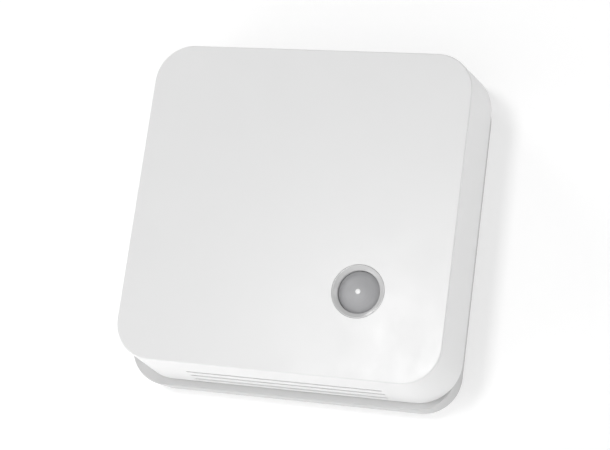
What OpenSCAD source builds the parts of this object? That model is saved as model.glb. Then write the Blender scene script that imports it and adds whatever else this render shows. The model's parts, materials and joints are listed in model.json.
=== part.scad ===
// Wall-mounted wireless room sensor.
// Frame: origin where the middle axis of the cover meets the wall, +Y into the wall, -Y towards the room, +Z up.

/* [Cover] */
// Width of the cover across its front face
front_w = 83.0; // [76:0.5:100]
// Height of the cover across its front face
front_h = 81.6; // [76:0.5:100]
// How far each side of the cover leans out from front to rear
side_draft = 1.3; // [0.5:0.05:3]
// How far the top and the underside of the cover lean out from front to rear
top_draft = 2.0; // [0.5:0.05:3]
// Depth of the cover from its front face to its rear edge
cover_depth = 19.0; // [18:0.5:26]
// Corner radius of the front face
front_r = 9.6; // [6:0.2:14]
// Rounding of the edge between the front face and the sides
edge_r = 0.35; // [0.2:0.05:1.5]
// Thickness of the cover's walls
wall = 1.8; // [1.2:0.1:2.4]

/* [Vent slots] */
// Number of slots in the underside
vent_count = 3; // [1:1:4]
// Length of a slot
vent_len = 50.8; // [20:0.2:60]
// Width of a slot
vent_w = 0.9; // [0.6:0.1:1.6]
// Distance from one slot to the next
vent_pitch = 3.5; // [2.5:0.1:4]
// Distance of the first slot behind the front face
vent_first = 9.3; // [8:0.1:10]

/* [Wall plate] */
// Depth of the plate from the wall to its front edge
plate_depth = 8.9; // [7:0.1:12]
// Gap between the cover and the plate
seam_gap = 0.1; // [0.05:0.05:0.6]
// How much further out than the cover's rear edge each side of the plate is, before it is set off to one side
plate_proud = 0.2; // [0:0.1:1]
// How far the plate's middle stands left of the cover's middle
plate_left = 1.5; // [0:0.1:2]
// How far the plate's middle stands below the cover's middle
plate_down = 1.55; // [0:0.05:2]
// Corner radius of the plate's rim
plate_r = 10.0; // [8:0.2:14]
// Thickness of the rim before the plate tapers towards the wall
rim_band = 1.8; // [1:0.1:3]
// How far the plate's outline is set in where it meets the wall
wall_inset = 0.2; // [0.1:0.1:1]
// How far the inside of the plate tapers in towards the wall
dish_inset = 4.0; // [2:0.5:6]
// Thickness of the plate's floor
floor_t = 2.0; // [1.5:0.1:3]
// Height of the locating tongue that enters the cover
tongue_h = 3.0; // [2:0.1:4]
// Thickness of the tongue
tongue_t = 1.2; // [0.8:0.1:1.6]
// Clearance round the tongue
tongue_clear = 0.4; // [0.3:0.05:0.6]
// Circle on which the wall screws sit
screw_pcd = 60.0; // [50:0.5:62]
// Diameter of the wall screw holes
screw_d = 4.2; // [3.5:0.1:5]
// Diameter of the recess for a screw head
head_d = 8.4; // [7:0.1:10]
// Depth of that recess
head_sink = 0.8; // [0.4:0.1:1]

/* [Lens] */
// Place of the lens to the right of the middle
lens_x = 19.4; // [0:0.1:24]
// Place of the lens above the middle
lens_z = -19.6; // [-24:0.1:0]
// Outer diameter of the bezel ring
bezel_d = 13.1; // [12.8:0.1:16]
// Width of the bezel ring
bezel_w = 1.25; // [0.8:0.05:1.4]
// Gap between the bezel ring and the lens dome
lens_gap = 0.1; // [0.05:0.05:0.4]
// How far the top of the dome stays behind the front face
dome_sunk = 0.1; // [0:0.1:0.6]
// Height of the dome above its cylindrical skirt
dome_rise = 1.5; // [1:0.1:2]
// Thickness of the lens
lens_t = 0.8; // [0.6:0.1:1]
// Diameter of the pip in the middle of the dome
pip_d = 1.3; // [0.8:0.1:2]

/* [Circuit board] */
// Clearance between the board's edges and the inside of the cover
pcb_clear = 3.0; // [2.4:0.1:5]
// Thickness of the board
pcb_t = 1.6; // [1:0.1:2]
// Distance of the fixing screws from the board's edges
boss_edge = 5.0; // [4:0.1:6]
// Diameter of the cover's screw bosses
boss_d = 6.0; // [5:0.1:7]
// Diameter of the fixing screws' shanks
shank_d = 2.1; // [1.6:0.1:2.4]
// How much wider a boss's core is than its screw
core_clear = 0.1; // [0.05:0.05:0.3]

/* [Batteries] */
// Diameter of a cell
cell_d = 14.3; // [13.8:0.1:14.5]
// Length of a cell's body without its cap
cell_len = 49.2; // [48:0.1:50]
// Gap between the two cells
cell_apart = 1.3; // [1:0.1:1.8]
// Height of the pair's middle above the board's middle
cells_z = 12.0; // [10:0.5:12]
// Gap between the cells and the plate's floor
cell_gap = 0.6; // [0.4:0.1:1.5]
// Height of the battery holder's frame above the board
holder_h = 11.0; // [8:0.5:13]
// Thickness of the holder's walls
holder_t = 1.2; // [1:0.1:1.2]
// Room for the contacts at each end of the cells
contact_room = 3.4; // [3:0.1:3.6]

/* [Button] */
// Travel of the switch's button
button_travel = 0.3; // [0.2:0.05:0.5]
// Diameter of the button
button_d = 3.5; // [3:0.1:3.8]

/* [Hidden] */

slice = 0.01;      // thickness of the thin slices that a hull joins
cut = 1;           // how far a cutting shape runs past the face that it cuts
touch = 0.05;      // gap between neighbouring pieces that rest against each other

cell_rest = 0.4;   // gap between the cells and the board

// Depths along Y
y_front = -(plate_depth + seam_gap + cover_depth);
y_inner = y_front + wall;
y_seam = y_front + cover_depth;
y_rim = -plate_depth;
y_cells = -(floor_t + cell_gap + cell_d / 2);
y_board_back = y_cells - cell_d / 2 - cell_rest;
y_board = y_board_back - pcb_t;

// Cover
rim_w = front_w + 2 * side_draft;
rim_h = front_h + 2 * top_draft;
rim_r = front_r + side_draft;
rim_straight = 0.4;
vent_x = 0.5;

// Size of the cover's inside at a depth y, for one of its two widths
function inside(front, rim, y) = front + (rim - front) * (y - y_front) / cover_depth - 2 * wall;

// Board
pcb_size = min(inside(front_w, rim_w, y_board), inside(front_h, rim_h, y_board)) - 2 * pcb_clear;
pcb_r = 5;
boss_off = pcb_size / 2 - boss_edge;
boss_core = shank_d + core_clear;
boss_floor = 0.4;        // what is left in front of a boss's core
screw_clear = 0.8;       // how much wider the board's holes are than the screws
screw_len = 5.5;         // how far a screw reaches past the board
screw_head_d = 5;
screw_head_h = 1.7;
screw_cross = [2.8, 1.6, 0.6];

// Tongue
tongue_tip = y_rim - tongue_h;
tongue_w = inside(front_w, rim_w, tongue_tip) - 2 * tongue_clear;
tongue_tall = inside(front_h, rim_h, tongue_tip) - 2 * tongue_clear;
tongue_r = rim_r - wall - tongue_clear;

// Plate
plate_w = rim_w + 2 * plate_proud;
plate_h = rim_h + 2 * plate_proud;
plate_at = [-plate_left, -plate_down];
ridge_len = 18;
ridge_t = 0.2;
ridge_h = 0.8;
ridge_base = ridge_t + tongue_t / 2;

// Lens stack, from the front face inwards
bezel_flange_t = 0.5;
bezel_flange_r = bezel_d / 2 + 1.4;
y_bezel_back = y_inner + touch + bezel_flange_t;
bezel_lip = 0.25;        // width of the bezel's flat front edge
bezel_slope = 0.7;       // depth of the bezel's sloping inside
gasket_t = 0.5;
gasket_r = bezel_flange_r - 0.3;
y_gasket_back = y_bezel_back + touch + gasket_t;
foot_t = 0.75;
foot_r = gasket_r - 0.2;
y_foot_back = y_gasket_back + touch + foot_t;
dome_d = bezel_d - 2 * (bezel_w + lens_gap);
y_apex = y_front + dome_sunk;
y_skirt = y_apex + dome_rise;
dome_ball = (pow(dome_d / 2, 2) + pow(dome_rise, 2)) / (2 * dome_rise);
pip_h = 0.25;
can_d = 9.2;
can_h = 3.6;
can_brim_d = 9.6;
can_brim_t = 0.4;
can_clear = 0.15;
filter_size = 3.4;
filter_t = 0.3;

// Battery bay
cell_pitch = cell_d + cell_apart;
holder_len = cell_len + 2 * contact_room + 2 * holder_t;
bay_clear = 0.5;         // gap between a cell and the holder's long walls
holder_tall = cell_pitch + cell_d + 2 * bay_clear + 2 * holder_t;
holder_grip = 18;        // width of the notches through which fingers lift the cells
holder_low = 0.45;       // height of the holder's walls at the notches, as a part of its height
rib_high = 0.75;         // height of the ribs between the cells, as a part of the holder's height
rib_gap = 0.2;
rib_end_t = 1;
spring_turns = 4;
spring_wire = 0.6;
spring_big_r = 4.2;
spring_small_r = 2.6;
spring_sides = 8;
spring_steps = 56;
plate_contact_t = 0.4;
plate_contact_size = 11;
cap_d = 5.4;
cap_h = 1.2;
cap_reach = holder_len / 2 - holder_t - plate_contact_t - 3 * touch;  // where a cell's cap ends
cell_chamfer = 0.3;

// Places of the parts on the board: x and z of each middle
radio_at = [-16, 16];
co2_at = [-12, -24];
humidity_at = [4, -33];
chip_at = [14, 12];
crystal_at = [14, 3];
led_at = [31, -17];
capacitor_at = [14, -12.5];
switch_at = [-20, -20];
header_at = [0, -31];

// Small parts
switch_size = 6;
switch_h = 3.1;
button_well = 1.2;       // depth of the recess that the button sinks into
button_clear = 0.3;      // gap round the button
button_floor = 0.3;      // gap left under the button when it is pressed
button_rise = 1.6;       // how far the button stands out of its switch
relief_w = 1;            // width of the slots that keep the board's warmth from the humidity sensor
relief_len = 8;
relief_off = 4;
pin_pitch = 2.54;
pin_count = 6;
pin_w = 0.64;
pin_len = 8.4;
pin_clear = 0.05;
header_h = 2.5;

// A rounded rectangle, w by h, in the plane of the drawing
module rounded(w, h, r) {
    square([w - 2 * r, h], center = true);
    square([w, h - 2 * r], center = true);
    for (sx = [-1, 1], sy = [-1, 1])
        translate([sx * (w / 2 - r), sy * (h / 2 - r)]) circle(r = r, $fn = 64);
}

// Extrudes a drawing, whose axes are X and Z, from depth y0 to the deeper or shallower depth y1
module along_y(y0, y1) {
    translate([0, max(y0, y1), 0]) rotate([90, 0, 0]) linear_extrude(abs(y1 - y0)) children();
}

// A round bar along Y, between two depths
module rod_y(x, z, d, y0, y1, sides = 48) {
    translate([x, max(y0, y1), z]) rotate([90, 0, 0]) cylinder(d = d, h = abs(y1 - y0), $fn = sides);
}

// A block of w by h, between two depths
module block_y(at, w, h, y0, y1) {
    translate([at[0] - w / 2, min(y0, y1), at[1] - h / 2]) cube([w, abs(y1 - y0), h]);
}

// A thin slice of a rounded rectangle, for a hull
module slice_at(w, h, r, y, at = [0, 0], t = slice) {
    translate([at[0], 0, at[1]]) along_y(y, y + t) union() {
        for (sx = [-1, 1], sy = [-1, 1])
            translate([sx * (w / 2 - r), sy * (h / 2 - r)]) circle(r = r, $fn = 32);
        square([w - 2 * r, h - 2 * r], center = true);
    }
}

// Turns a profile, drawn as radius and height towards the room, round the lens axis from depth y
module round_lens(y) {
    translate([lens_x, y, lens_z]) rotate([90, 0, 0]) rotate_extrude($fn = 96) children();
}

module cover_outside() {
    hull() {
        slice_at(front_w - 2 * edge_r, front_h - 2 * edge_r, front_r - edge_r, y_front);
        slice_at(front_w - 0.6 * edge_r, front_h - 0.6 * edge_r, front_r - 0.3 * edge_r,
                 y_front + 0.3 * edge_r);
        slice_at(front_w, front_h, front_r, y_front + edge_r);
        slice_at(rim_w, rim_h, rim_r, y_seam - rim_straight, t = rim_straight);
    }
}

module cover_inside() {
    hull() {
        slice_at(front_w - 2 * wall, front_h - 2 * wall, front_r - wall, y_inner);
        slice_at(rim_w - 2 * wall, rim_h - 2 * wall, rim_r - wall, y_seam, t = cut);
    }
}

module vent_slot(y) {
    low = -rim_h / 2 - cut;
    high = -front_h / 2 + wall + cut;
    straight = vent_len - vent_w;
    translate([vent_x, y, low]) {
        translate([-straight / 2, -vent_w / 2, 0]) cube([straight, vent_w, high - low]);
        for (s = [-1, 1])
            translate([s * straight / 2, 0, 0]) cylinder(d = vent_w, h = high - low, $fn = 24);
    }
}

module front_cover() color("white") difference() {
    union() {
        difference() {
            cover_outside();
            cover_inside();
        }
        for (sx = [-1, 1], sz = [-1, 1])
            rod_y(sx * boss_off, sz * boss_off, boss_d, y_inner - wall / 2, y_board - touch);
    }
    for (sx = [-1, 1], sz = [-1, 1])
        rod_y(sx * boss_off, sz * boss_off, boss_core, y_inner + boss_floor, y_board + cut);
    rod_y(lens_x, lens_z, bezel_d + 2 * touch, y_front - cut, y_inner + cut, 96);
    for (i = [0 : vent_count - 1]) vent_slot(y_front + vent_first + i * vent_pitch);
}

module wall_plate() color([0.8, 0.8, 0.8]) difference() {
    union() {
        difference() {
            hull() {
                slice_at(plate_w, plate_h, plate_r, y_rim, plate_at, rim_band);
                slice_at(plate_w - 2 * wall_inset, plate_h - 2 * wall_inset,
                         plate_r - wall_inset, -slice, plate_at);
            }
            hull() {
                slice_at(tongue_w - 2 * tongue_t, tongue_tall - 2 * tongue_t, tongue_r - tongue_t,
                         y_rim - cut);
                slice_at(tongue_w - 2 * dish_inset, tongue_tall - 2 * dish_inset,
                         tongue_r - tongue_t, -floor_t - slice);
            }
        }
        along_y(tongue_tip, y_rim + 1) difference() {
            rounded(tongue_w, tongue_tall, tongue_r);
            rounded(tongue_w - 2 * tongue_t, tongue_tall - 2 * tongue_t, tongue_r - tongue_t);
        }
        for (sx = [-1, 1], sz = [-1, 1])
            block_y([sx * tongue_w / 4, sz * (tongue_tall / 2 + ridge_t - ridge_base / 2)],
                    ridge_len, ridge_base, y_rim - tongue_h / 2, y_rim - tongue_h / 2 + ridge_h);
    }
    for (a = [0 : 90 : 270]) {
        x = screw_pcd / 2 * cos(a);
        z = screw_pcd / 2 * sin(a);
        rod_y(x, z, screw_d, -floor_t - cut, cut);
        rod_y(x, z, head_d, -floor_t - cut, -floor_t + head_sink);
    }
}

module lens_bezel() color([0.8, 0.8, 0.8]) round_lens(y_bezel_back) {
    depth = y_bezel_back - y_front;
    inner = bezel_d / 2 - bezel_w;
    polygon([[inner, 0], [bezel_flange_r, 0], [bezel_flange_r, bezel_flange_t],
             [bezel_d / 2, bezel_flange_t], [bezel_d / 2, depth], [bezel_d / 2 - bezel_lip, depth],
             [inner, depth - bezel_slope]]);
}

module lens_gasket() color([0.2, 0.2, 0.2]) round_lens(y_gasket_back) {
    inner = bezel_d / 2 - bezel_w;
    translate([inner, 0]) square([gasket_r - inner, gasket_t]);
}

// Points of an arc round the lens axis, from radius r0 out to radius r1, on a ball whose top is at height top
function dome_arc(ball, r0, r1, top, steps) =
    [for (i = [0 : steps])
        let (a = asin(r0 / ball) + (asin(r1 / ball) - asin(r0 / ball)) * i / steps)
        [ball * sin(a), top - ball * (1 - cos(a))]];

module pir_lens() color([0.66, 0.66, 0.68]) round_lens(y_foot_back) {
    top = y_foot_back - y_apex;
    hole_r = pip_d / 2 + 0.01;
    outer = dome_arc(dome_ball, hole_r, dome_d / 2, top, 16);
    inner = dome_arc(dome_ball - lens_t, 0, dome_d / 2 - lens_t, top - lens_t, 12);
    polygon(concat([[0, top - pip_h - touch], [hole_r, top - pip_h - touch]], outer,
                   [[dome_d / 2, foot_t], [foot_r, foot_t], [foot_r, 0], [dome_d / 2 - lens_t, 0]],
                   [for (i = [len(inner) - 1 : -1 : 0]) inner[i]]));
}

module lens_centre_pip() color("white")
    rod_y(lens_x, lens_z, pip_d, y_apex - 0.05, y_apex + pip_h, 48);

module lens_holder() color([0.12, 0.12, 0.12]) round_lens(y_board - touch) {
    depth = y_board - touch - y_foot_back - touch;
    inner = can_brim_d / 2 + can_clear;
    translate([inner, 0]) square([foot_r - inner, depth]);
}

module pir_sensor() color([0.75, 0.75, 0.74]) difference() {
    union() {
        rod_y(lens_x, lens_z, can_brim_d, y_board - touch, y_board - touch - can_brim_t, 64);
        rod_y(lens_x, lens_z, can_d, y_board - touch - can_brim_t / 2, y_board - touch - can_h, 64);
    }
    block_y([lens_x, lens_z], filter_size, filter_size, y_board - touch - can_h - cut,
            y_board - touch - can_h + filter_t);
}

module pir_filter() color([0.15, 0.14, 0.2])
    block_y([lens_x, lens_z], filter_size - 0.1, filter_size - 0.1,
            y_board - touch - can_h + filter_t - 0.02, y_board - touch - can_h);

module main_pcb() color([0.05, 0.35, 0.18]) difference() {
    along_y(y_board, y_board_back) rounded(pcb_size, pcb_size, pcb_r);
    for (sx = [-1, 1], sz = [-1, 1])
        rod_y(sx * boss_off, sz * boss_off, shank_d + screw_clear, y_board - cut, y_board_back + cut);
    for (s = [-1, 1])
        block_y([humidity_at[0] + s * relief_off, relief_len / 2 - cut - pcb_size / 2], relief_w,
                relief_len, y_board - cut, y_board_back + cut);
}

module pcb_screws() color([0.6, 0.6, 0.62])
    for (sx = [-1, 1], sz = [-1, 1]) difference() {
        union() {
            rod_y(sx * boss_off, sz * boss_off, shank_d, y_board - screw_len,
                  y_board_back + screw_head_h / 2, 32);
            rod_y(sx * boss_off, sz * boss_off, screw_head_d, y_board_back + touch,
                  y_board_back + screw_head_h, 32);
        }
        for (turn = [0, 90])
            translate([sx * boss_off, y_board_back + screw_head_h, sz * boss_off])
                rotate([0, turn, 0]) cube(screw_cross, center = true);
    }

module radio_board() color([0.05, 0.25, 0.4])
    block_y(radio_at, 18, 25, y_board - touch - 0.8, y_board - touch);

module radio_shield() color([0.78, 0.78, 0.78])
    along_y(y_board - 2 * touch - 0.8 - 2.2, y_board - 2 * touch - 0.8)
        translate([radio_at[0], radio_at[1] - 2]) rounded(16, 18, 0.8);

module antenna() color([0.8, 0.5, 0.25]) {
    legs = 12;
    leg_h = 5;
    pitch = 3.2;
    line = 0.8;
    thick = 0.1;
    x0 = -12;
    z0 = 29.5;
    along_y(y_board - thick, y_board) translate([x0, z0]) union() {
        for (i = [0 : legs]) translate([i * pitch, 0]) square([line, leg_h]);
        for (i = [0 : legs - 1])
            translate([i * pitch, (i % 2 == 0) ? leg_h - line : 0]) square([pitch + line, line]);
    }
}

module co2_sensor() color([0.82, 0.82, 0.8]) difference() {
    block_y(co2_at, 10.1, 10.1, y_board - touch - 6.5, y_board - touch);
    rod_y(co2_at[0], co2_at[1], 5.2, y_board - touch - 6.5 - cut, y_board - touch - 6.1);
}

module co2_membrane() color([0.96, 0.96, 0.96])
    rod_y(co2_at[0], co2_at[1], 5.1, y_board - touch - 6.4, y_board - 2 * touch - 6.1);

module humidity_sensor() color([0.1, 0.1, 0.1]) difference() {
    block_y(humidity_at, 2.5, 2.5, y_board - touch - 0.9, y_board - touch);
    rod_y(humidity_at[0], humidity_at[1], 0.9, y_board - touch - 0.9 - cut, y_board - touch - 0.6, 24);
}

module microcontroller() color([0.1, 0.1, 0.1]) difference() {
    block_y(chip_at, 7, 7, y_board - touch - 0.9, y_board - touch);
    rod_y(chip_at[0] - 2.4, chip_at[1] + 2.4, 0.8, y_board - touch - 0.9 - cut,
          y_board - touch - 0.8, 24);
}

module quartz_crystal() color([0.8, 0.8, 0.78])
    along_y(y_board - touch - 0.8, y_board - touch) translate(crystal_at) rounded(3.2, 2.5, 0.5);

module status_led() color([0.95, 0.9, 0.7]) union() {
    block_y(led_at, 2.8, 3.5, y_board - touch - 0.7, y_board - touch);
    rod_y(led_at[0], led_at[1], 2.4, y_board - touch - 1.6, y_board - touch - 0.5, 32);
}

module battery_holder() color([0.12, 0.12, 0.12]) {
    bay = holder_tall - 2 * holder_t;
    y_low = y_board_back + touch;
    difference() {
        block_y([0, cells_z], holder_len, holder_tall, y_low, y_low + holder_h);
        block_y([0, cells_z], holder_len - 2 * holder_t, bay, y_low - cut, y_low + holder_h + cut);
        for (s = [-1, 1])
            rod_y(0, cells_z + s * holder_tall / 2, holder_grip, y_low + holder_h * holder_low,
                  y_low + holder_h + cut);
    }
    block_y([0, cells_z], holder_len - 2 * holder_t - 2 * contact_room, cell_pitch - cell_d - rib_gap,
            y_low, y_low + holder_h * rib_high);
    for (s = [-1, 1])
        block_y([s * (holder_len / 2 - holder_t / 2 - contact_room / 2), cells_z],
                contact_room + holder_t, rib_end_t, y_low, y_low + holder_h * rib_high);
}

// One cell along X: side is 1 where its cap points right
module cell(z, side) {
    middle = side * (cap_reach - cap_h - cell_len / 2);
    translate([middle - cell_len / 2, y_cells, z]) rotate([0, 90, 0]) union() {
        translate([0, 0, cell_chamfer]) cylinder(d = cell_d, h = cell_len - 2 * cell_chamfer, $fn = 96);
        cylinder(d = cell_d - 4 * cell_chamfer, h = cell_len, $fn = 96);
    }
}

module battery_upper() color([0.15, 0.35, 0.6]) cell(cells_z + cell_pitch / 2, 1);

module battery_lower() color([0.15, 0.35, 0.6]) cell(cells_z - cell_pitch / 2, -1);

module cell_caps() color([0.8, 0.8, 0.8])
    for (s = [-1, 1])
        translate([s * (cap_reach - cap_h + touch / 2), y_cells, cells_z + s * cell_pitch / 2])
            rotate([0, s * 90, 0]) cylinder(d = cap_d, h = cap_h - touch / 2, $fn = 48);

// Points of a coil spring that widens from its tip to its foot, and the tube swept along them
function spring_at(u, len) =
    let (r = spring_small_r + (spring_big_r - spring_small_r) * u, a = 360 * spring_turns * u)
    [r * cos(a), r * sin(a), len * (1 - u)];
function spring_ring(u, len) =
    let (a = 360 * spring_turns * u, c = spring_at(u, len))
    [for (k = [0 : spring_sides - 1])
        let (b = 360 * k / spring_sides, out = spring_wire / 2 * cos(b), up = spring_wire / 2 * sin(b))
        [c[0] + out * cos(a), c[1] + out * sin(a), c[2] + up]];

module spring(len) {
    rings = [for (i = [0 : spring_steps]) spring_ring(i / spring_steps, len)];
    points = [for (ring = rings) each ring];
    last = spring_steps * spring_sides;
    sides = [for (i = [0 : spring_steps - 1], k = [0 : spring_sides - 1])
        let (next = (k + 1) % spring_sides, a = i * spring_sides, b = a + spring_sides)
        each [[a + k, a + next, b + k], [a + next, b + next, b + k]]];
    start = [[for (k = [spring_sides - 1 : -1 : 0]) k]];
    end = [[for (k = [0 : spring_sides - 1]) last + k]];
    polyhedron(points = points, faces = concat(sides, start, end));
}

module contact_springs() color([0.8, 0.8, 0.82])
    for (s = [-1, 1]) {
        far = holder_len / 2 - holder_t - 2 * touch - plate_contact_t;
        near = cell_len + cap_h - cap_reach + touch;
        len = far - near - spring_wire;
        translate([-s * (far - spring_wire / 2), y_cells, cells_z + s * cell_pitch / 2])
            rotate([0, s * 90, 0]) spring(len);
    }

module contact_plates() color([0.8, 0.8, 0.82])
    for (s = [-1, 1], t = [-1, 1])
        translate([s * (holder_len / 2 - holder_t - touch) - (s + 1) / 2 * plate_contact_t,
                   y_board_back + 2 * touch, cells_z + t * cell_pitch / 2 - plate_contact_size / 2])
            cube([plate_contact_t, holder_h, plate_contact_size]);

module buffer_capacitor() color([0.1, 0.12, 0.25]) {
    d = 8;
    len = 20;
    translate([capacitor_at[0] - len / 2, y_board_back + touch + d / 2, capacitor_at[1]])
        rotate([0, 90, 0]) union() {
            cylinder(d = d, h = 1.6, $fn = 64);
            cylinder(d = d - 0.6, h = 2.6, $fn = 64);
            translate([0, 0, 2.4]) cylinder(d = d, h = len - 2.4, $fn = 64);
        }
}

module switch_body() color([0.15, 0.15, 0.15]) {
    y_low = y_board_back + touch;
    difference() {
        block_y(switch_at, switch_size, switch_size, y_low, y_low + switch_h);
        rod_y(switch_at[0], switch_at[1], button_d + 2 * button_clear, y_low + switch_h - button_well,
              y_low + switch_h + cut, 48);
    }
}

module button_plunger() color([0.75, 0.2, 0.15]) {
    y_top = y_board_back + touch + switch_h;
    rod_y(switch_at[0], switch_at[1], button_d, y_top - button_well + button_floor + button_travel,
          y_top + button_rise, 48);
}

// Where a pin of the header stands, along X
function pin_x(i) = header_at[0] + (i - (pin_count - 1) / 2) * pin_pitch;

module service_header() color([0.1, 0.1, 0.1]) difference() {
    block_y(header_at, pin_count * pin_pitch, header_h, y_board_back + touch,
            y_board_back + touch + header_h);
    for (i = [0 : pin_count - 1])
        block_y([pin_x(i), header_at[1]], pin_w + 2 * pin_clear, pin_w + 2 * pin_clear,
                y_board_back - cut, y_board_back + header_h + cut);
}

module header_pins() color([0.85, 0.7, 0.3])
    for (i = [0 : pin_count - 1])
        block_y([pin_x(i), header_at[1]], pin_w, pin_w, y_board_back + touch,
                y_board_back + touch + pin_len);

wall_plate();
front_cover();
lens_bezel();
lens_gasket();
pir_lens();
lens_centre_pip();
lens_holder();
pir_sensor();
pir_filter();
main_pcb();
pcb_screws();
radio_board();
radio_shield();
antenna();
co2_sensor();
co2_membrane();
humidity_sensor();
microcontroller();
quartz_crystal();
status_led();
battery_holder();
battery_upper();
battery_lower();
cell_caps();
contact_springs();
contact_plates();
buffer_capacitor();
switch_body();
button_plunger();
service_header();
header_pins();
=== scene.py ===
"""Looks of a square wall-mounted room sensor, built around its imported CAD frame.

Every length is in metres. The frame's origin is the middle of the face that meets the wall, +Y points into the
wall, -Y towards the room, and +Z up. Each sub-assembly is a class that holds its sizes, builds its meshes and
dresses them; each finish is a small frozen dataclass that makes one material.
"""

import json
import logging
import math
from dataclasses import dataclass, field
from enum import Enum
from typing import Callable, Iterable, Sequence

import bmesh
import bpy
from mathutils import Matrix, Vector

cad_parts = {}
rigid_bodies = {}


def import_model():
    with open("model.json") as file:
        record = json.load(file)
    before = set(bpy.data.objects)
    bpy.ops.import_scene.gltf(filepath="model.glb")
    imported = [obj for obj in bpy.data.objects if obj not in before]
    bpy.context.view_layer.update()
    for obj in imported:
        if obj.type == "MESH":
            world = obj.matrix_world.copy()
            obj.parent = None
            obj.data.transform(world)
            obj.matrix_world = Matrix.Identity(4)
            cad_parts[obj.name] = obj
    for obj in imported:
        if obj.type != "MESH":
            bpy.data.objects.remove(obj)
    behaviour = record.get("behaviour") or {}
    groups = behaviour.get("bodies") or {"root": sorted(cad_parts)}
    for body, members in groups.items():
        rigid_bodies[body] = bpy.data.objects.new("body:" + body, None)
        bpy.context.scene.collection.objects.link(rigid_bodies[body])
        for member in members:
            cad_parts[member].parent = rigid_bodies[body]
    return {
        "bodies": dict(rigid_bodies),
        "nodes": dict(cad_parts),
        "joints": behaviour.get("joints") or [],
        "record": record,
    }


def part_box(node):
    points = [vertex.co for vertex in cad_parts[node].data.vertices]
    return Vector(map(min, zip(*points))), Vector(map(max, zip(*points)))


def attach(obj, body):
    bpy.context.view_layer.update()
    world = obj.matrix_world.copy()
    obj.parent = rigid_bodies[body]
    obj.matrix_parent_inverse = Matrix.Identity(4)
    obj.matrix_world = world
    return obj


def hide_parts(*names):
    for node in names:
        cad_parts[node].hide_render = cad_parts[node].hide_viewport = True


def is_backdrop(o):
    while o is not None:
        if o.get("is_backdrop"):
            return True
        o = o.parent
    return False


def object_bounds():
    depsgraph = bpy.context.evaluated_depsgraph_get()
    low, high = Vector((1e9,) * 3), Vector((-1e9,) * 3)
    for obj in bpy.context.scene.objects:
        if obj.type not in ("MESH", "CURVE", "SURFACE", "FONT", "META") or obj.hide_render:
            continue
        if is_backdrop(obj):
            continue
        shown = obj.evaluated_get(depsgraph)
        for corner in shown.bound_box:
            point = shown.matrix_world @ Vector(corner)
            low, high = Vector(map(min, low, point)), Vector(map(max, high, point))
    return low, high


LOG = logging.getLogger("room_sensor")
MM = 0.001
Colour = tuple[float, float, float]
Point2 = tuple[float, float]


class Body(Enum):
    """The rigid bodies of the frame that a piece may ride on."""

    PLATE = "wall_plate"
    UNIT = "sensor_unit"
    BUTTON = "test_button"


class Facing(Enum):
    """Which way along Y a part on the circuit board looks."""

    ROOM = -1.0
    WALL = 1.0


# --------------------------------------------------------------------------------------------------------------
# Node helpers and shared node groups
# --------------------------------------------------------------------------------------------------------------


class Sheet:
    """A node tree under construction, with short calls to add and join nodes."""

    def __init__(self, tree: bpy.types.NodeTree) -> None:
        """Starts a sheet.

        Args:
            tree: The node tree that the nodes go into.
        """
        self.tree = tree

    def add(self, kind: str, **settings: object) -> bpy.types.Node:
        """Adds a node.

        Args:
            kind: The node's type name.
            settings: Attributes to set on the node.

        Returns:
            The new node.
        """
        node = self.tree.nodes.new(kind)
        for name, value in settings.items():
            setattr(node, name, value)
        return node

    def join(self, source: bpy.types.NodeSocket, target: bpy.types.NodeSocket) -> None:
        """Links an output socket to an input socket."""
        self.tree.links.new(source, target)

    def math(self, operation: str, first: object, second: object = None) -> bpy.types.NodeSocket:
        """Adds a Math node.

        Args:
            operation: The node's operation.
            first: A socket or a number.
            second: A socket, a number or nothing.

        Returns:
            The node's output socket.
        """
        node = self.add("ShaderNodeMath", operation=operation)
        for socket, value in zip(node.inputs, (first, second)):
            self.feed(socket, value)
        return node.outputs[0]

    def feed(self, socket: bpy.types.NodeSocket, value: object) -> None:
        """Puts a value or a link on an input socket, and leaves it alone for None."""
        if isinstance(value, bpy.types.NodeSocket):
            self.join(value, socket)
        elif value is not None:
            socket.default_value = value

    def noise(self, vector: object, scale: object, detail: float = 2.0, rough: float = 0.5) -> bpy.types.NodeSocket:
        """Adds a noise texture.

        Args:
            vector: The coordinates' socket.
            scale: The texture's scale, a socket or a number.
            detail: Octaves of noise.
            rough: How strong the fine octaves are.

        Returns:
            The noise's value socket.
        """
        node = self.add("ShaderNodeTexNoise")
        self.feed(node.inputs["Vector"], vector)
        self.feed(node.inputs["Scale"], scale)
        node.inputs["Detail"].default_value = detail
        node.inputs["Roughness"].default_value = rough
        return node.outputs["Fac"]

    def spread(self, value: object, low: float, high: float, to_low: object, to_high: object) -> bpy.types.NodeSocket:
        """Maps a range of values to another, clamped.

        Args:
            value: The socket to map.
            low: The value that becomes to_low.
            high: The value that becomes to_high.
            to_low: The new low end, a socket or a number.
            to_high: The new high end, a socket or a number.

        Returns:
            The mapped socket.
        """
        node = self.add("ShaderNodeMapRange")
        sockets = ("Value", "From Min", "From Max", "To Min", "To Max")
        for name, item in zip(sockets, (value, low, high, to_low, to_high)):
            self.feed(node.inputs[name], item)
        return node.outputs["Result"]

    def blend(self, factor: object, first: object, second: object, mode: str = "MIX") -> bpy.types.NodeSocket:
        """Mixes two colours.

        Args:
            factor: How much of the second colour.
            first: The first colour, a socket or four numbers.
            second: The second colour.
            mode: How they mix.

        Returns:
            The mixed colour's socket.
        """
        node = self.add("ShaderNodeMix", data_type="RGBA", blend_type=mode)
        self.feed(node.inputs["Factor"], factor)
        self.feed(node.inputs["A"], first)
        self.feed(node.inputs["B"], second)
        return node.outputs["Result"]


def rgba(colour: Colour) -> tuple[float, float, float, float]:
    """Returns a colour with full alpha."""
    return (*colour, 1.0)


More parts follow.
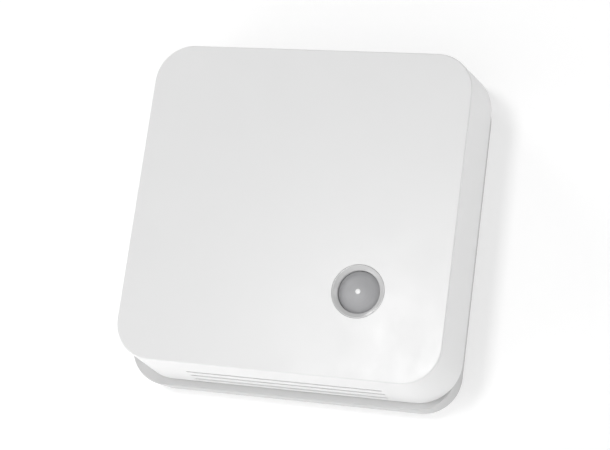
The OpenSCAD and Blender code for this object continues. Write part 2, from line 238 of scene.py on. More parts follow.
def new_group(name: str, inputs: Sequence[tuple], outputs: Sequence[tuple]) -> tuple[Sheet, dict, bpy.types.Node]:
    """Makes an empty shader node group.

    Args:
        name: The group's name.
        inputs: Socket kind, name and first value of each input.
        outputs: Socket kind and name of each output.

    Returns:
        The sheet, the inputs by name, and the group's output node.
    """
    tree = bpy.data.node_groups.new(name, "ShaderNodeTree")
    for kind, label, value in inputs:
        socket = tree.interface.new_socket(name=label, in_out="INPUT", socket_type=kind)
        socket.default_value = value
    for kind, label in outputs:
        tree.interface.new_socket(name=label, in_out="OUTPUT", socket_type=kind)
    sheet = Sheet(tree)
    entry = sheet.add("NodeGroupInput")
    leave = sheet.add("NodeGroupOutput")
    return sheet, {s.name: s for s in entry.outputs}, leave


FLOAT, COLOUR, VECTOR = "NodeSocketFloat", "NodeSocketColor", "NodeSocketVector"


def build_moulded_grain() -> bpy.types.NodeTree:
    """Builds the fine spark-eroded grain and the faint flow shading of moulded plastic.

    Returns:
        The node group, with outputs Tone, Rough and Height.
    """
    sheet, given, leave = new_group(
        "moulded_grain",
        [(COLOUR, "Colour", (0.8, 0.8, 0.8, 1)), (FLOAT, "Roughness", 0.4), (FLOAT, "Grain Scale", 2600.0),
         (FLOAT, "Variation", 0.03)],
        [(COLOUR, "Tone"), (FLOAT, "Rough"), (FLOAT, "Height")],
    )
    place = sheet.add("ShaderNodeTexCoord").outputs["Object"]
    pits = sheet.add("ShaderNodeTexVoronoi", feature="SMOOTH_F1")
    sheet.join(place, pits.inputs["Vector"])
    sheet.join(given["Grain Scale"], pits.inputs["Scale"])
    fine = sheet.noise(place, sheet.math("MULTIPLY", given["Grain Scale"], 1.7), 3.0, 0.6)
    height = sheet.math("ADD", sheet.math("MULTIPLY", pits.outputs["Distance"], 0.6), sheet.math("MULTIPLY", fine, 0.4))
    flow = sheet.noise(place, 26.0, 4.0, 0.55)
    swing = sheet.math("MULTIPLY", sheet.math("SUBTRACT", flow, 0.5), given["Variation"])
    lighter = sheet.math("ADD", swing, 1.0)
    tone = sheet.add("ShaderNodeVectorMath", operation="SCALE")
    sheet.join(given["Colour"], tone.inputs[0])
    sheet.join(lighter, tone.inputs["Scale"])
    marks = sheet.noise(place, 90.0, 5.0, 0.65)
    rough = sheet.math("ADD", given["Roughness"], sheet.math("MULTIPLY", sheet.math("SUBTRACT", marks, 0.5), 0.18))
    sheet.join(tone.outputs[0], leave.inputs["Tone"])
    sheet.join(rough, leave.inputs["Rough"])
    sheet.join(height, leave.inputs["Height"])
    return sheet.tree


def build_dust_and_wear() -> bpy.types.NodeTree:
    """Builds settled dust on upward faces and the faint polish where fingers have touched.

    Returns:
        The node group, with outputs Tone and Rough.
    """
    sheet, given, leave = new_group(
        "dust_and_wear",
        [(COLOUR, "Colour", (0.8, 0.8, 0.8, 1)), (FLOAT, "Roughness", 0.4), (FLOAT, "Dust", 0.1), (FLOAT, "Wear", 0.1)],
        [(COLOUR, "Tone"), (FLOAT, "Rough")],
    )
    geometry = sheet.add("ShaderNodeNewGeometry")
    place = sheet.add("ShaderNodeTexCoord").outputs["Object"]
    split = sheet.add("ShaderNodeSeparateXYZ")
    sheet.join(geometry.outputs["Normal"], split.inputs[0])
    up = sheet.spread(split.outputs["Z"], 0.55, 1.0, 0.0, 1.0)
    specks = sheet.spread(sheet.noise(place, 420.0, 6.0, 0.7), 0.45, 0.7, 0.2, 1.0)
    dust = sheet.math("MULTIPLY", sheet.math("MULTIPLY", up, specks), given["Dust"])
    smudge = sheet.spread(sheet.noise(place, 75.0, 5.0, 0.7), 0.52, 0.68, 0.0, 1.0)
    worn = sheet.math("MULTIPLY", sheet.math("MULTIPLY", smudge, sheet.noise(place, 900.0, 3.0, 0.6)), given["Wear"])
    tone = sheet.blend(dust, given["Colour"], (0.62, 0.60, 0.57, 1))
    rough = sheet.math("SUBTRACT", sheet.math("ADD", given["Roughness"], dust), sheet.math("MULTIPLY", worn, 0.5))
    sheet.join(tone, leave.inputs["Tone"])
    sheet.join(rough, leave.inputs["Rough"])
    return sheet.tree


def build_drawn_metal() -> bpy.types.NodeTree:
    """Builds the fine drawing lines and dull patches of plated sheet metal and wire.

    Returns:
        The node group, with outputs Tone, Rough and Height.
    """
    sheet, given, leave = new_group(
        "drawn_metal",
        [(COLOUR, "Colour", (0.7, 0.7, 0.7, 1)), (FLOAT, "Roughness", 0.3), (VECTOR, "Stretch", (1, 1, 1))],
        [(COLOUR, "Tone"), (FLOAT, "Rough"), (FLOAT, "Height")],
    )
    place = sheet.add("ShaderNodeTexCoord").outputs["Object"]
    scaled = sheet.add("ShaderNodeVectorMath", operation="MULTIPLY")
    sheet.join(place, scaled.inputs[0])
    sheet.join(given["Stretch"], scaled.inputs[1])
    lines = sheet.noise(scaled.outputs[0], 900.0, 3.0, 0.6)
    patches = sheet.noise(place, 160.0, 4.0, 0.6)
    darker = sheet.spread(patches, 0.35, 0.7, 0.86, 1.04)
    tone = sheet.add("ShaderNodeVectorMath", operation="SCALE")
    sheet.join(given["Colour"], tone.inputs[0])
    sheet.join(darker, tone.inputs["Scale"])
    rough = sheet.math("ADD", given["Roughness"], sheet.math("MULTIPLY", sheet.math("SUBTRACT", patches, 0.45), 0.25))
    sheet.join(tone.outputs[0], leave.inputs["Tone"])
    sheet.join(rough, leave.inputs["Rough"])
    sheet.join(lines, leave.inputs["Height"])
    return sheet.tree


class Effects:
    """The shared node groups, each built once."""

    _makers: dict[str, Callable[[], bpy.types.NodeTree]] = {
        "moulded_grain": build_moulded_grain,
        "dust_and_wear": build_dust_and_wear,
        "drawn_metal": build_drawn_metal,
    }
    _made: dict[str, bpy.types.NodeTree] = {}

    @classmethod
    def place(cls, sheet: Sheet, name: str, **values: object) -> bpy.types.Node:
        """Places a shared group in a material.

        Args:
            sheet: The material's sheet.
            name: The group's name.
            values: Input values or sockets, with spaces in names written as underscores.

        Returns:
            The group's node.
        """
        if name not in cls._made:
            cls._made[name] = cls._makers[name]()
        node = sheet.add("ShaderNodeGroup", node_tree=cls._made[name])
        for label, value in values.items():
            sheet.feed(node.inputs[label.replace("_", " ")], value)
        return node


def start_material(name: str) -> tuple[bpy.types.Material, Sheet, bpy.types.Node]:
    """Makes a material with one Principled shader on its output.

    Args:
        name: The material's name.

    Returns:
        The material, its sheet and its Principled node.
    """
    material = bpy.data.materials.new(name)
    material.use_nodes = True
    material.node_tree.nodes.clear()
    sheet = Sheet(material.node_tree)
    shader = sheet.add("ShaderNodeBsdfPrincipled")
    output = sheet.add("ShaderNodeOutputMaterial")
    sheet.join(shader.outputs[0], output.inputs["Surface"])
    return material, sheet, shader


def add_bump(sheet: Sheet, shader: bpy.types.Node, height: bpy.types.NodeSocket, strength: float, reach: float) -> None:
    """Adds a Bump node that feeds the shader's normal.

    Args:
        sheet: The material's sheet.
        shader: The Principled node.
        height: The height's socket.
        strength: Bump strength.
        reach: Bump distance in metres.
    """
    bump = sheet.add("ShaderNodeBump")
    bump.inputs["Strength"].default_value = strength
    bump.inputs["Distance"].default_value = reach
    sheet.join(height, bump.inputs["Height"])
    sheet.join(bump.outputs[0], shader.inputs["Normal"])


# --------------------------------------------------------------------------------------------------------------
# Finishes
# --------------------------------------------------------------------------------------------------------------


@dataclass(frozen=True)
class Plastic:
    """A moulded plastic with fine grain, faint flow shading, dust and the polish of handling."""

    name: str
    colour: Colour
    roughness: float = 0.42
    grain: float = 2600.0
    bump: float = 0.25
    variation: float = 0.03
    dust: float = 0.08
    wear: float = 0.1
    coat: float = 0.0
    specular: float = 0.5

    def build(self) -> bpy.types.Material:
        """Builds the material."""
        material, sheet, shader = start_material(self.name)
        grain = Effects.place(sheet, "moulded_grain", Colour=rgba(self.colour), Roughness=self.roughness,
                              Grain_Scale=self.grain, Variation=self.variation)
        used = Effects.place(sheet, "dust_and_wear", Colour=grain.outputs["Tone"], Roughness=grain.outputs["Rough"],
                             Dust=self.dust, Wear=self.wear)
        sheet.join(used.outputs["Tone"], shader.inputs["Base Color"])
        sheet.join(used.outputs["Rough"], shader.inputs["Roughness"])
        shader.inputs["Specular IOR Level"].default_value = self.specular
        shader.inputs["Coat Weight"].default_value = self.coat
        shader.inputs["Coat Roughness"].default_value = 0.12
        add_bump(sheet, shader, grain.outputs["Height"], self.bump, 0.00002)
        return material


@dataclass(frozen=True)
class Metal:
    """A plated sheet metal or wire with drawing lines and dull patches."""

    name: str
    colour: Colour
    roughness: float = 0.3
    stretch: Colour = (1.0, 8.0, 1.0)
    bump: float = 0.15

    def build(self) -> bpy.types.Material:
        """Builds the material."""
        material, sheet, shader = start_material(self.name)
        drawn = Effects.place(sheet, "drawn_metal", Colour=rgba(self.colour), Roughness=self.roughness,
                              Stretch=self.stretch)
        sheet.join(drawn.outputs["Tone"], shader.inputs["Base Color"])
        sheet.join(drawn.outputs["Rough"], shader.inputs["Roughness"])
        shader.inputs["Metallic"].default_value = 1.0
        add_bump(sheet, shader, drawn.outputs["Height"], self.bump, 0.00002)
        return material


@dataclass(frozen=True)
class BoardMask:
    """A circuit board's solder mask, with copper tracks and pours that show through as lighter lines."""

    name: str
    colour: Colour
    track: Colour
    cell: float = 260.0

    def build(self) -> bpy.types.Material:
        """Builds the material."""
        material, sheet, shader = start_material(self.name)
        place = sheet.add("ShaderNodeTexCoord").outputs["Object"]
        tracks = sheet.add("ShaderNodeTexBrick", offset=0.5, squash=1.6, squash_frequency=3)
        turned = sheet.add("ShaderNodeMapping")
        turned.inputs["Rotation"].default_value = (math.radians(90), 0, 0)
        sheet.join(place, turned.inputs["Vector"])
        sheet.join(turned.outputs[0], tracks.inputs["Vector"])
        tracks.inputs["Scale"].default_value = self.cell
        tracks.inputs["Mortar Size"].default_value = 0.035
        tracks.inputs["Color1"].default_value = (0, 0, 0, 1)
        tracks.inputs["Color2"].default_value = (0, 0, 0, 1)
        tracks.inputs["Mortar"].default_value = (1, 1, 1, 1)
        pour = sheet.spread(sheet.noise(place, 70.0, 1.0, 0.3), 0.5, 0.52, 0.0, 1.0)
        raised = sheet.math("MULTIPLY", tracks.outputs["Color"], pour)
        tone = sheet.blend(raised, rgba(self.colour), rgba(self.track))
        shade = sheet.spread(sheet.noise(place, 24.0, 3.0, 0.5), 0.3, 0.7, 0.9, 1.08)
        scaled = sheet.add("ShaderNodeVectorMath", operation="SCALE")
        sheet.join(tone, scaled.inputs[0])
        sheet.join(shade, scaled.inputs["Scale"])
        sheet.join(scaled.outputs[0], shader.inputs["Base Color"])
        rough = sheet.spread(sheet.noise(place, 900.0, 3.0, 0.6), 0.3, 0.7, 0.22, 0.4)
        sheet.join(rough, shader.inputs["Roughness"])
        add_bump(sheet, shader, raised, 0.6, 0.00004)
        return material


@dataclass(frozen=True)
class LensPlastic:
    """The cloudy plastic of the motion lens, faintly mottled, with a trace of the rings behind it."""

    name: str
    colour: Colour
    centre: tuple[float, float, float]
    ring_pitch: float = 0.00075
    roughness: float = 0.45

    def build(self) -> bpy.types.Material:
        """Builds the material."""
        material, sheet, shader = start_material(self.name)
        place = sheet.add("ShaderNodeTexCoord").outputs["Object"]
        away = sheet.add("ShaderNodeVectorMath", operation="SUBTRACT")
        sheet.join(place, away.inputs[0])
        away.inputs[1].default_value = self.centre
        flat = sheet.add("ShaderNodeVectorMath", operation="MULTIPLY")
        sheet.join(away.outputs[0], flat.inputs[0])
        flat.inputs[1].default_value = (1, 0, 1)
        reach = sheet.add("ShaderNodeVectorMath", operation="LENGTH")
        sheet.join(flat.outputs[0], reach.inputs[0])
        rings = sheet.math("SINE", sheet.math("MULTIPLY", reach.outputs["Value"], 2 * math.pi / self.ring_pitch))
        cloud = sheet.noise(place, 520.0, 4.0, 0.6)
        mix = sheet.math("ADD", sheet.math("MULTIPLY", rings, 0.1), sheet.math("MULTIPLY", cloud, 1.2))
        shade = sheet.spread(mix, -0.2, 1.5, 0.94, 1.06)
        tone = sheet.add("ShaderNodeVectorMath", operation="SCALE")
        tone.inputs[0].default_value = self.colour
        sheet.join(shade, tone.inputs["Scale"])
        sheet.join(tone.outputs[0], shader.inputs["Base Color"])
        rough = sheet.spread(cloud, 0.3, 0.7, self.roughness - 0.05, self.roughness + 0.08)
        sheet.join(rough, shader.inputs["Roughness"])
        shader.inputs["Subsurface Weight"].default_value = 0.15
        shader.inputs["Subsurface Radius"].default_value = (1.0, 1.0, 1.0)
        shader.inputs["Subsurface Scale"].default_value = 0.0008
        add_bump(sheet, shader, cloud, 0.05, 0.00003)
        return material


@dataclass(frozen=True)
class CellWrap:
    """The shrink sleeve of a cell: one colour with a band of another at its positive end."""

    name: str
    colour: Colour
    band: Colour
    band_edge: float
    side: float
    roughness: float = 0.25

    def build(self) -> bpy.types.Material:
        """Builds the material."""
        material, sheet, shader = start_material(self.name)
        place = sheet.add("ShaderNodeTexCoord").outputs["Object"]
        split = sheet.add("ShaderNodeSeparateXYZ")
        sheet.join(place, split.inputs[0])
        along = sheet.math("MULTIPLY", split.outputs["X"], self.side)
        in_band = sheet.spread(along, self.band_edge - 0.0001, self.band_edge + 0.0001, 0.0, 1.0)
        tone = sheet.blend(in_band, rgba(self.colour), rgba(self.band))
        grain = Effects.place(sheet, "moulded_grain", Colour=tone, Roughness=self.roughness, Grain_Scale=700.0,
                              Variation=0.08)
        sheet.join(grain.outputs["Tone"], shader.inputs["Base Color"])
        sheet.join(grain.outputs["Rough"], shader.inputs["Roughness"])
        shader.inputs["Coat Weight"].default_value = 0.4
        shader.inputs["Coat Roughness"].default_value = 0.1
        add_bump(sheet, shader, grain.outputs["Height"], 0.2, 0.00004)
        return material


@dataclass(frozen=True)
class WallPaint:
    """The wall behind the object: plain pale paint that can't be seen from behind."""

    name: str = "wall_paint"
    colour: Colour = (0.62, 0.62, 0.62)
    glow: float = 0.46

    def build(self) -> bpy.types.Material:
        """Builds the material."""
        material, sheet, shader = start_material(self.name)
        shader.inputs["Base Color"].default_value = rgba(self.colour)
        shader.inputs["Roughness"].default_value = 0.9
        shader.inputs["Specular IOR Level"].default_value = 0.1
        shader.inputs["Emission Color"].default_value = rgba((1.0, 1.0, 1.0))
        shader.inputs["Emission Strength"].default_value = self.glow
        clear = sheet.add("ShaderNodeBsdfTransparent")
        either = sheet.add("ShaderNodeMixShader")
        geometry = sheet.add("ShaderNodeNewGeometry")
        output = next(n for n in sheet.tree.nodes if n.type == "OUTPUT_MATERIAL")
        sheet.join(geometry.outputs["Backfacing"], either.inputs[0])
        sheet.join(shader.outputs[0], either.inputs[1])
        sheet.join(clear.outputs[0], either.inputs[2])
        sheet.join(either.outputs[0], output.inputs["Surface"])
        return material


# --------------------------------------------------------------------------------------------------------------
# Mesh helpers
# --------------------------------------------------------------------------------------------------------------


def rounded_outline(width: float, height: float, radius: float, arc: int = 20, side: int = 6) -> list[Point2]:
    """Makes the points of a rounded rectangle about the middle, anticlockwise.

    Args:
        width: Size along X.
        height: Size along Z.
        radius: Corner radius.
        arc: Steps in each corner.
        side: Steps along each straight side.

    Returns:
        The points as (x, z).
    """
    corners = []
    for quarter, (sx, sz) in enumerate(((1, 1), (-1, 1), (-1, -1), (1, -1))):
        cx, cz = sx * (width / 2 - radius), sz * (height / 2 - radius)
        turn = [math.pi / 2 * (quarter + i / arc) for i in range(arc + 1)]
        corners.append([(cx + radius * math.cos(a), cz + radius * math.sin(a)) for a in turn])
    points = []
    for here, following in zip(corners, corners[1:] + corners[:1]):
        points += here
        (x0, z0), (x1, z1) = here[-1], following[0]
        points += [(x0 + (x1 - x0) * i / side, z0 + (z1 - z0) * i / side) for i in range(1, side)]
    return points


class Builder:
    """Builds one mesh object from lofts, lathes and blocks."""

    def __init__(self, name: str) -> None:
        """Starts an empty mesh.

        Args:
            name: The object's name.
        """
        self.name = name
        self.mesh = bmesh.new()

    def loop(self, points: Iterable[Vector]) -> list[bmesh.types.BMVert]:
        """Adds one closed row of vertices."""
        return [self.mesh.verts.new(p) for p in points]

    def bridge(self, first: Sequence[bmesh.types.BMVert], second: Sequence[bmesh.types.BMVert]) -> None:
        """Joins two rows of equal length with quads."""
        count = len(first)
        for i in range(count):
            j = (i + 1) % count
            self.mesh.faces.new((first[i], first[j], second[j], second[i]))

    def loft(self, rows: Sequence[Sequence[Vector]], capped: bool = True) -> None:
        """Skins rows of points.

        Args:
            rows: Rows of equal length.
            capped: Whether the first and last rows are closed with faces.
        """
        loops = [self.loop(row) for row in rows]
        for first, second in zip(loops, loops[1:]):
            self.bridge(first, second)
        if capped:
            self.mesh.faces.new(loops[0])
            self.mesh.faces.new(list(reversed(loops[-1])))

    def lathe(self, profile: Sequence[Point2], centre: Vector, axis: Vector, steps: int = 64) -> None:
        """Turns a closed profile round an axis.

        Args:
            profile: Points as (radius, distance along the axis); a radius of 0 closes on the axis.
            centre: Where the axis starts.
            axis: The axis' direction.
            steps: Steps round.
        """
        turn = Vector((0, 0, 1)).rotation_difference(axis.normalized()).to_matrix()
        rows: list[list[bmesh.types.BMVert]] = []
        for radius, height in profile:
            if radius < 1e-9:
                rows.append([self.mesh.verts.new(centre + turn @ Vector((0, 0, height)))])
            else:
                rows.append(self.loop(
                    centre + turn @ Vector((radius * math.cos(2 * math.pi * i / steps),
                                            radius * math.sin(2 * math.pi * i / steps), height))
                    for i in range(steps)))
        pairs = list(zip(rows, rows[1:]))
        if profile[0][0] > 1e-9 and profile[-1][0] > 1e-9:
            pairs.append((rows[-1], rows[0]))
        for first, second in pairs:
            if len(first) == 1 and len(second) == 1:
                continue
            if len(first) == 1 or len(second) == 1:
                tip, ring = (first[0], second) if len(first) == 1 else (second[0], first)
                for i in range(len(ring)):
                    self.mesh.faces.new((tip, ring[i], ring[(i + 1) % len(ring)]))
            else:
                self.bridge(first, second)

    def block(self, low: Vector, high: Vector, chamfer: float = 0.0) -> None:
        """Adds a box, with its edges chamfered if asked.

        Args:
            low: Lowest corner.
            high: Highest corner.
            chamfer: Width of the chamfer.
        """
        made = bmesh.ops.create_cube(self.mesh, size=1.0)["verts"]
        middle, size = (low + high) / 2, high - low
        for vert in made:
            vert.co = Vector((vert.co.x * size.x, vert.co.y * size.y, vert.co.z * size.z)) + middle
        if chamfer > 0:
            edges = list({e for v in made for e in v.link_edges})
            bmesh.ops.bevel(self.mesh, geom=edges, offset=chamfer, segments=2, affect="EDGES", profile=0.6)

    def done(self, smooth: float = 40.0) -> bpy.types.Object:
        """Finishes the mesh.

        Args:
            smooth: Faces that meet at less than this angle, in degrees, shade as one.

        Returns:
            The new object.
        """
        bmesh.ops.recalc_face_normals(self.mesh, faces=self.mesh.faces)
        data = bpy.data.meshes.new(self.name)
        self.mesh.to_mesh(data)
        self.mesh.free()
        piece = bpy.data.objects.new(self.name, data)
        bpy.context.scene.collection.objects.link(piece)
        shade(piece, smooth)
        return piece


def shade(piece: bpy.types.Object, smooth: float) -> None:
    """Shades a piece smooth, but for edges sharper than an angle in degrees."""
    piece.data.polygons.foreach_set("use_smooth", [True] * len(piece.data.polygons))
    piece.data.set_sharp_from_angle(angle=math.radians(smooth))


def at_depth(points: Iterable[Point2], y: float, shift: Point2 = (0.0, 0.0)) -> list[Vector]:
    """Returns (x, z) points as vectors at a depth y, moved by shift."""
    return [Vector((x + shift[0], y, z + shift[1])) for x, z in points]


def settle_booleans(piece: bpy.types.Object, others: Sequence[bpy.types.Object], operation: str, smooth: float) -> None:
    """Joins or cuts solids for good, and removes the solids that were used.

    Args:
        piece: What is changed.
        others: The solids to join or to take away.
        operation: UNION or DIFFERENCE.
        smooth: The shading angle afterwards, in degrees.
    """
    for other in others:
        modifier = piece.modifiers.new("solid", "BOOLEAN")
        modifier.operation, modifier.solver, modifier.object = operation, "EXACT", other
        modifier.use_self = True
    graph = bpy.context.evaluated_depsgraph_get()
    data = bpy.data.meshes.new_from_object(piece.evaluated_get(graph))
    old = piece.data
    piece.modifiers.clear()
    piece.data = data
    bpy.data.meshes.remove(old)
    for other in others:
        bpy.data.objects.remove(other)
    data.name = piece.name
    shade(piece, smooth)


def cut_away(piece: bpy.types.Object, cutters: Sequence[bpy.types.Object], smooth: float = 40.0) -> None:
    """Cuts solids out of a piece for good, and removes the cutters.

    Args:
        piece: What is cut.
        cutters: The solids to take away.
        smooth: The shading angle afterwards, in degrees.
    """
    settle_booleans(piece, cutters, "DIFFERENCE", smooth)


def weigh_normals(piece: bpy.types.Object) -> None:
    """Makes large flat faces shade flat up to their rounded edges."""
    modifier = piece.modifiers.new("weighted_normal", "WEIGHTED_NORMAL")
    modifier.keep_sharp = True
    modifier.weight = 100


def fillet(radius: float, steps: int) -> list[Point2]:
    """Returns (inset, set back) pairs that round an edge, from the side wall to the face."""
    turns = [math.pi / 2 * i / steps for i in range(steps + 1)]
    return [(radius * (1 - math.cos(a)), radius * (1 - math.sin(a))) for a in turns]


def dress(piece: bpy.types.Object, material: bpy.types.Material, body: Body, slot: str,
          *nodes: str) -> bpy.types.Object:
    """Gives a piece its material and its body, and hides the CAD nodes that it stands for.

    Args:
        piece: The piece.
        material: Its material.
        body: The body that it rides on.
        slot: The record's material slot; not used.
        nodes: CAD nodes that it replaces.

    Returns:
        The piece.
    """
    piece.data.materials.clear()
    piece.data.materials.append(material)
    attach(piece, body.value)
    if nodes:
        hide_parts(*nodes)
    LOG.info("%s: %d faces, on %s", piece.name, len(piece.data.polygons), body.value)
    return piece


def refine_node(name: str, material: bpy.types.Material, edge: float = 0.0) -> None:
    """Keeps a CAD node, with a material and softened edges.

    Args:
        name: The node.
        material: Its material.
        edge: Width of the softened edge, or 0 for none.
    """
    node = FRAME["nodes"][name]
    node.data.materials.clear()
    node.data.materials.append(material)
    shade(node, 35.0)
    if edge > 0:
        modifier = node.modifiers.new("soft_edge", "BEVEL")
        modifier.width, modifier.segments, modifier.limit_method = edge, 2, "ANGLE"
        modifier.angle_limit = math.radians(40)
        modifier.harden_normals = True
    LOG.info("%s: CAD node kept", name)


FRAME: dict = {}


@dataclass(frozen=True)
class Span:
    """The box of a CAD node at rest."""

    low: Vector
    high: Vector

    @classmethod
    def of(cls, node: str) -> "Span":
        """Returns the box of a node."""
        return cls(*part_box(node))

    @property
    def middle(self) -> Vector:
        """Returns the middle of the box."""
        return (self.low + self.high) / 2

    @property
    def size(self) -> Vector:
        """Returns the box's size."""
        return self.high - self.low


# --------------------------------------------------------------------------------------------------------------
# Sub-assemblies
# --------------------------------------------------------------------------------------------------------------


@dataclass
class CoverShell:
    """The drafted front cover, with its lens opening, vent slots and screw bosses."""

    side_draft: float = 1.3 * MM
    top_draft: float = 2.0 * MM
    front_radius: float = 9.6 * MM
    edge_radius: float = 0.35 * MM
    wall: float = 1.8 * MM
    inner_radius: float = 1.0 * MM
    lip_radius: float = 0.08 * MM
    opening_gap: float = 0.05 * MM
    vent_count: int = 3
    vent_length: float = 50.8 * MM
    vent_width: float = 0.9 * MM
    vent_pitch: float = 3.5 * MM
    vent_first: float = 9.3 * MM
    vent_shift: float = 0.5 * MM
    boss_radius: float = 3.0 * MM
    boss_core: float = 1.1 * MM
    boss_floor: float = 0.4 * MM
    gusset: float = 1.0 * MM
    span: Span = field(init=False)

    def __post_init__(self) -> None:
        """Reads the cover's box."""
        self.span = Span.of("front_cover")

    def ring(self, inset: float, y: float) -> list[Vector]:
        """Makes one row of the shell.

        Args:
            inset: How far inside the cover's outer surface.
            y: The row's depth.

        Returns:
            The row's points.
        """
        back = (self.span.high.y - y) / self.span.size.y
        width = self.span.size.x - 2 * self.side_draft * back - 2 * inset
        height = self.span.size.z - 2 * self.top_draft * back - 2 * inset
        radius = self.front_radius + self.side_draft * (1 - back) - inset
        return at_depth(rounded_outline(width, height, radius), y)

    def shell(self) -> bpy.types.Object:
        """Lofts the closed shell, from the inner face round the rear lip to the front face."""
        front, rear = self.span.low.y, self.span.high.y
        inner = front + self.wall
        rows = [self.ring(self.wall + self.inner_radius - i, inner + self.inner_radius - o)
                for i, o in ((self.inner_radius - a, b) for a, b in fillet(self.inner_radius, 5))][::-1]
        rows += [self.ring(self.wall - i, rear - self.lip_radius + o) for i, o in
                 ((a, self.lip_radius - b) for a, b in fillet(self.lip_radius, 3))]
        rows += [self.ring(i, rear - o) for i, o in fillet(self.lip_radius, 3)[::-1]]
        rows += [self.ring(i, front + o) for i, o in fillet(self.edge_radius, 8)]
        build = Builder("front_cover_shell")
        build.loft(rows)
        return build.done()

    def boss_places(self) -> list[Point2]:
        """Returns the four (x, z) places of the screw bosses."""
        reach = Span.of("pcb_screws").high.x - 2.5 * MM
        return [(sx * reach, sz * reach) for sx in (-1, 1) for sz in (-1, 1)]

    def bosses(self) -> bpy.types.Object:
        """Builds the screw bosses, ready to join to the shell."""
        inner = self.span.low.y + self.wall
        top = Span.of("main_pcb").low.y - 0.05 * MM
        build = Builder("bosses")
        for x, z in self.boss_places():
            start = Vector((x, inner - self.wall / 2, z))
            length = top - start.y
            soft = 0.25 * MM
            build.lathe([(0, 0), (self.boss_radius, 0), (self.boss_radius, length - soft),
                         (self.boss_radius - 0.3 * soft, length - 0.3 * soft), (self.boss_radius - soft, length),
                         (0, length)], start, Vector((0, 1, 0)), 40)
        return build.done()

    def gussets(self) -> bpy.types.Object:
        """Builds the thin webs that brace each boss."""
        inner = self.span.low.y + self.wall
        build = Builder("gussets")
        half = self.gusset / 2
        for x, z in self.boss_places():
            arm = self.boss_radius + 1.6 * MM
            foot, top = inner - self.wall / 2, inner + 3.2 * MM
            build.block(Vector((x - arm, foot, z - half)), Vector((x + arm, top, z + half)))
        return build.done()

    def lens_opening(self) -> bpy.types.Object:
        """Builds the cutter for the lens opening."""
        bezel = Span.of("lens_bezel")
        build = Builder("lens_opening")
        radius = LensStack.bezel_radius + self.opening_gap
        start = Vector((bezel.middle.x, self.span.low.y - 1 * MM, bezel.middle.z))
        through = self.wall + 2 * MM
        build.lathe([(0, 0), (radius, 0), (radius, through), (0, through)], start, Vector((0, 1, 0)), 128)
        return build.done()

    def vents(self) -> list[bpy.types.Object]:
        """Builds the cutters of the vent slots."""
        cutters = []
        low, high = self.span.low.z - 1 * MM, self.span.low.z + self.top_draft + self.wall + 1 * MM
        half, round_off = self.vent_length / 2 - self.vent_width / 2, self.vent_width / 2
        for number in range(self.vent_count):
            y = self.span.low.y + self.vent_first + number * self.vent_pitch
            turns = [math.pi * i / 12 for i in range(13)]
            right = [(self.vent_shift + half + round_off * math.sin(a), y - round_off * math.cos(a)) for a in turns]
            left = [(self.vent_shift - half - round_off * math.sin(a), y + round_off * math.cos(a)) for a in turns]
            build = Builder(f"vent_{number}")
            build.loft([[Vector((px, py, z)) for px, py in right + left] for z in (low, high)])
            cutters.append(build.done())
        return cutters

    def cores(self) -> bpy.types.Object:
        """Builds the cutters of the screw holes in the bosses."""
        build = Builder("cores")
        start_y = self.span.low.y + self.wall + self.boss_floor
        length = Span.of("main_pcb").low.y + 1 * MM - start_y
        for x, z in self.boss_places():
            build.lathe([(0, 0), (self.boss_core, 0), (self.boss_core, length), (0, length)],
                        Vector((x, start_y, z)), Vector((0, 1, 0)), 32)
        return build.done()

    def build(self, finish: bpy.types.Material) -> None:
        """Builds and dresses the cover.

        Args:
            finish: The cover's material.
        """
        shell = self.shell()
        join_on(shell, [self.bosses(), self.gussets()])
        cut_away(shell, [self.lens_opening(), self.cores(), *self.vents()])
        weigh_normals(shell)
        dress(shell, finish, Body.UNIT, "cover_plastic", "front_cover")


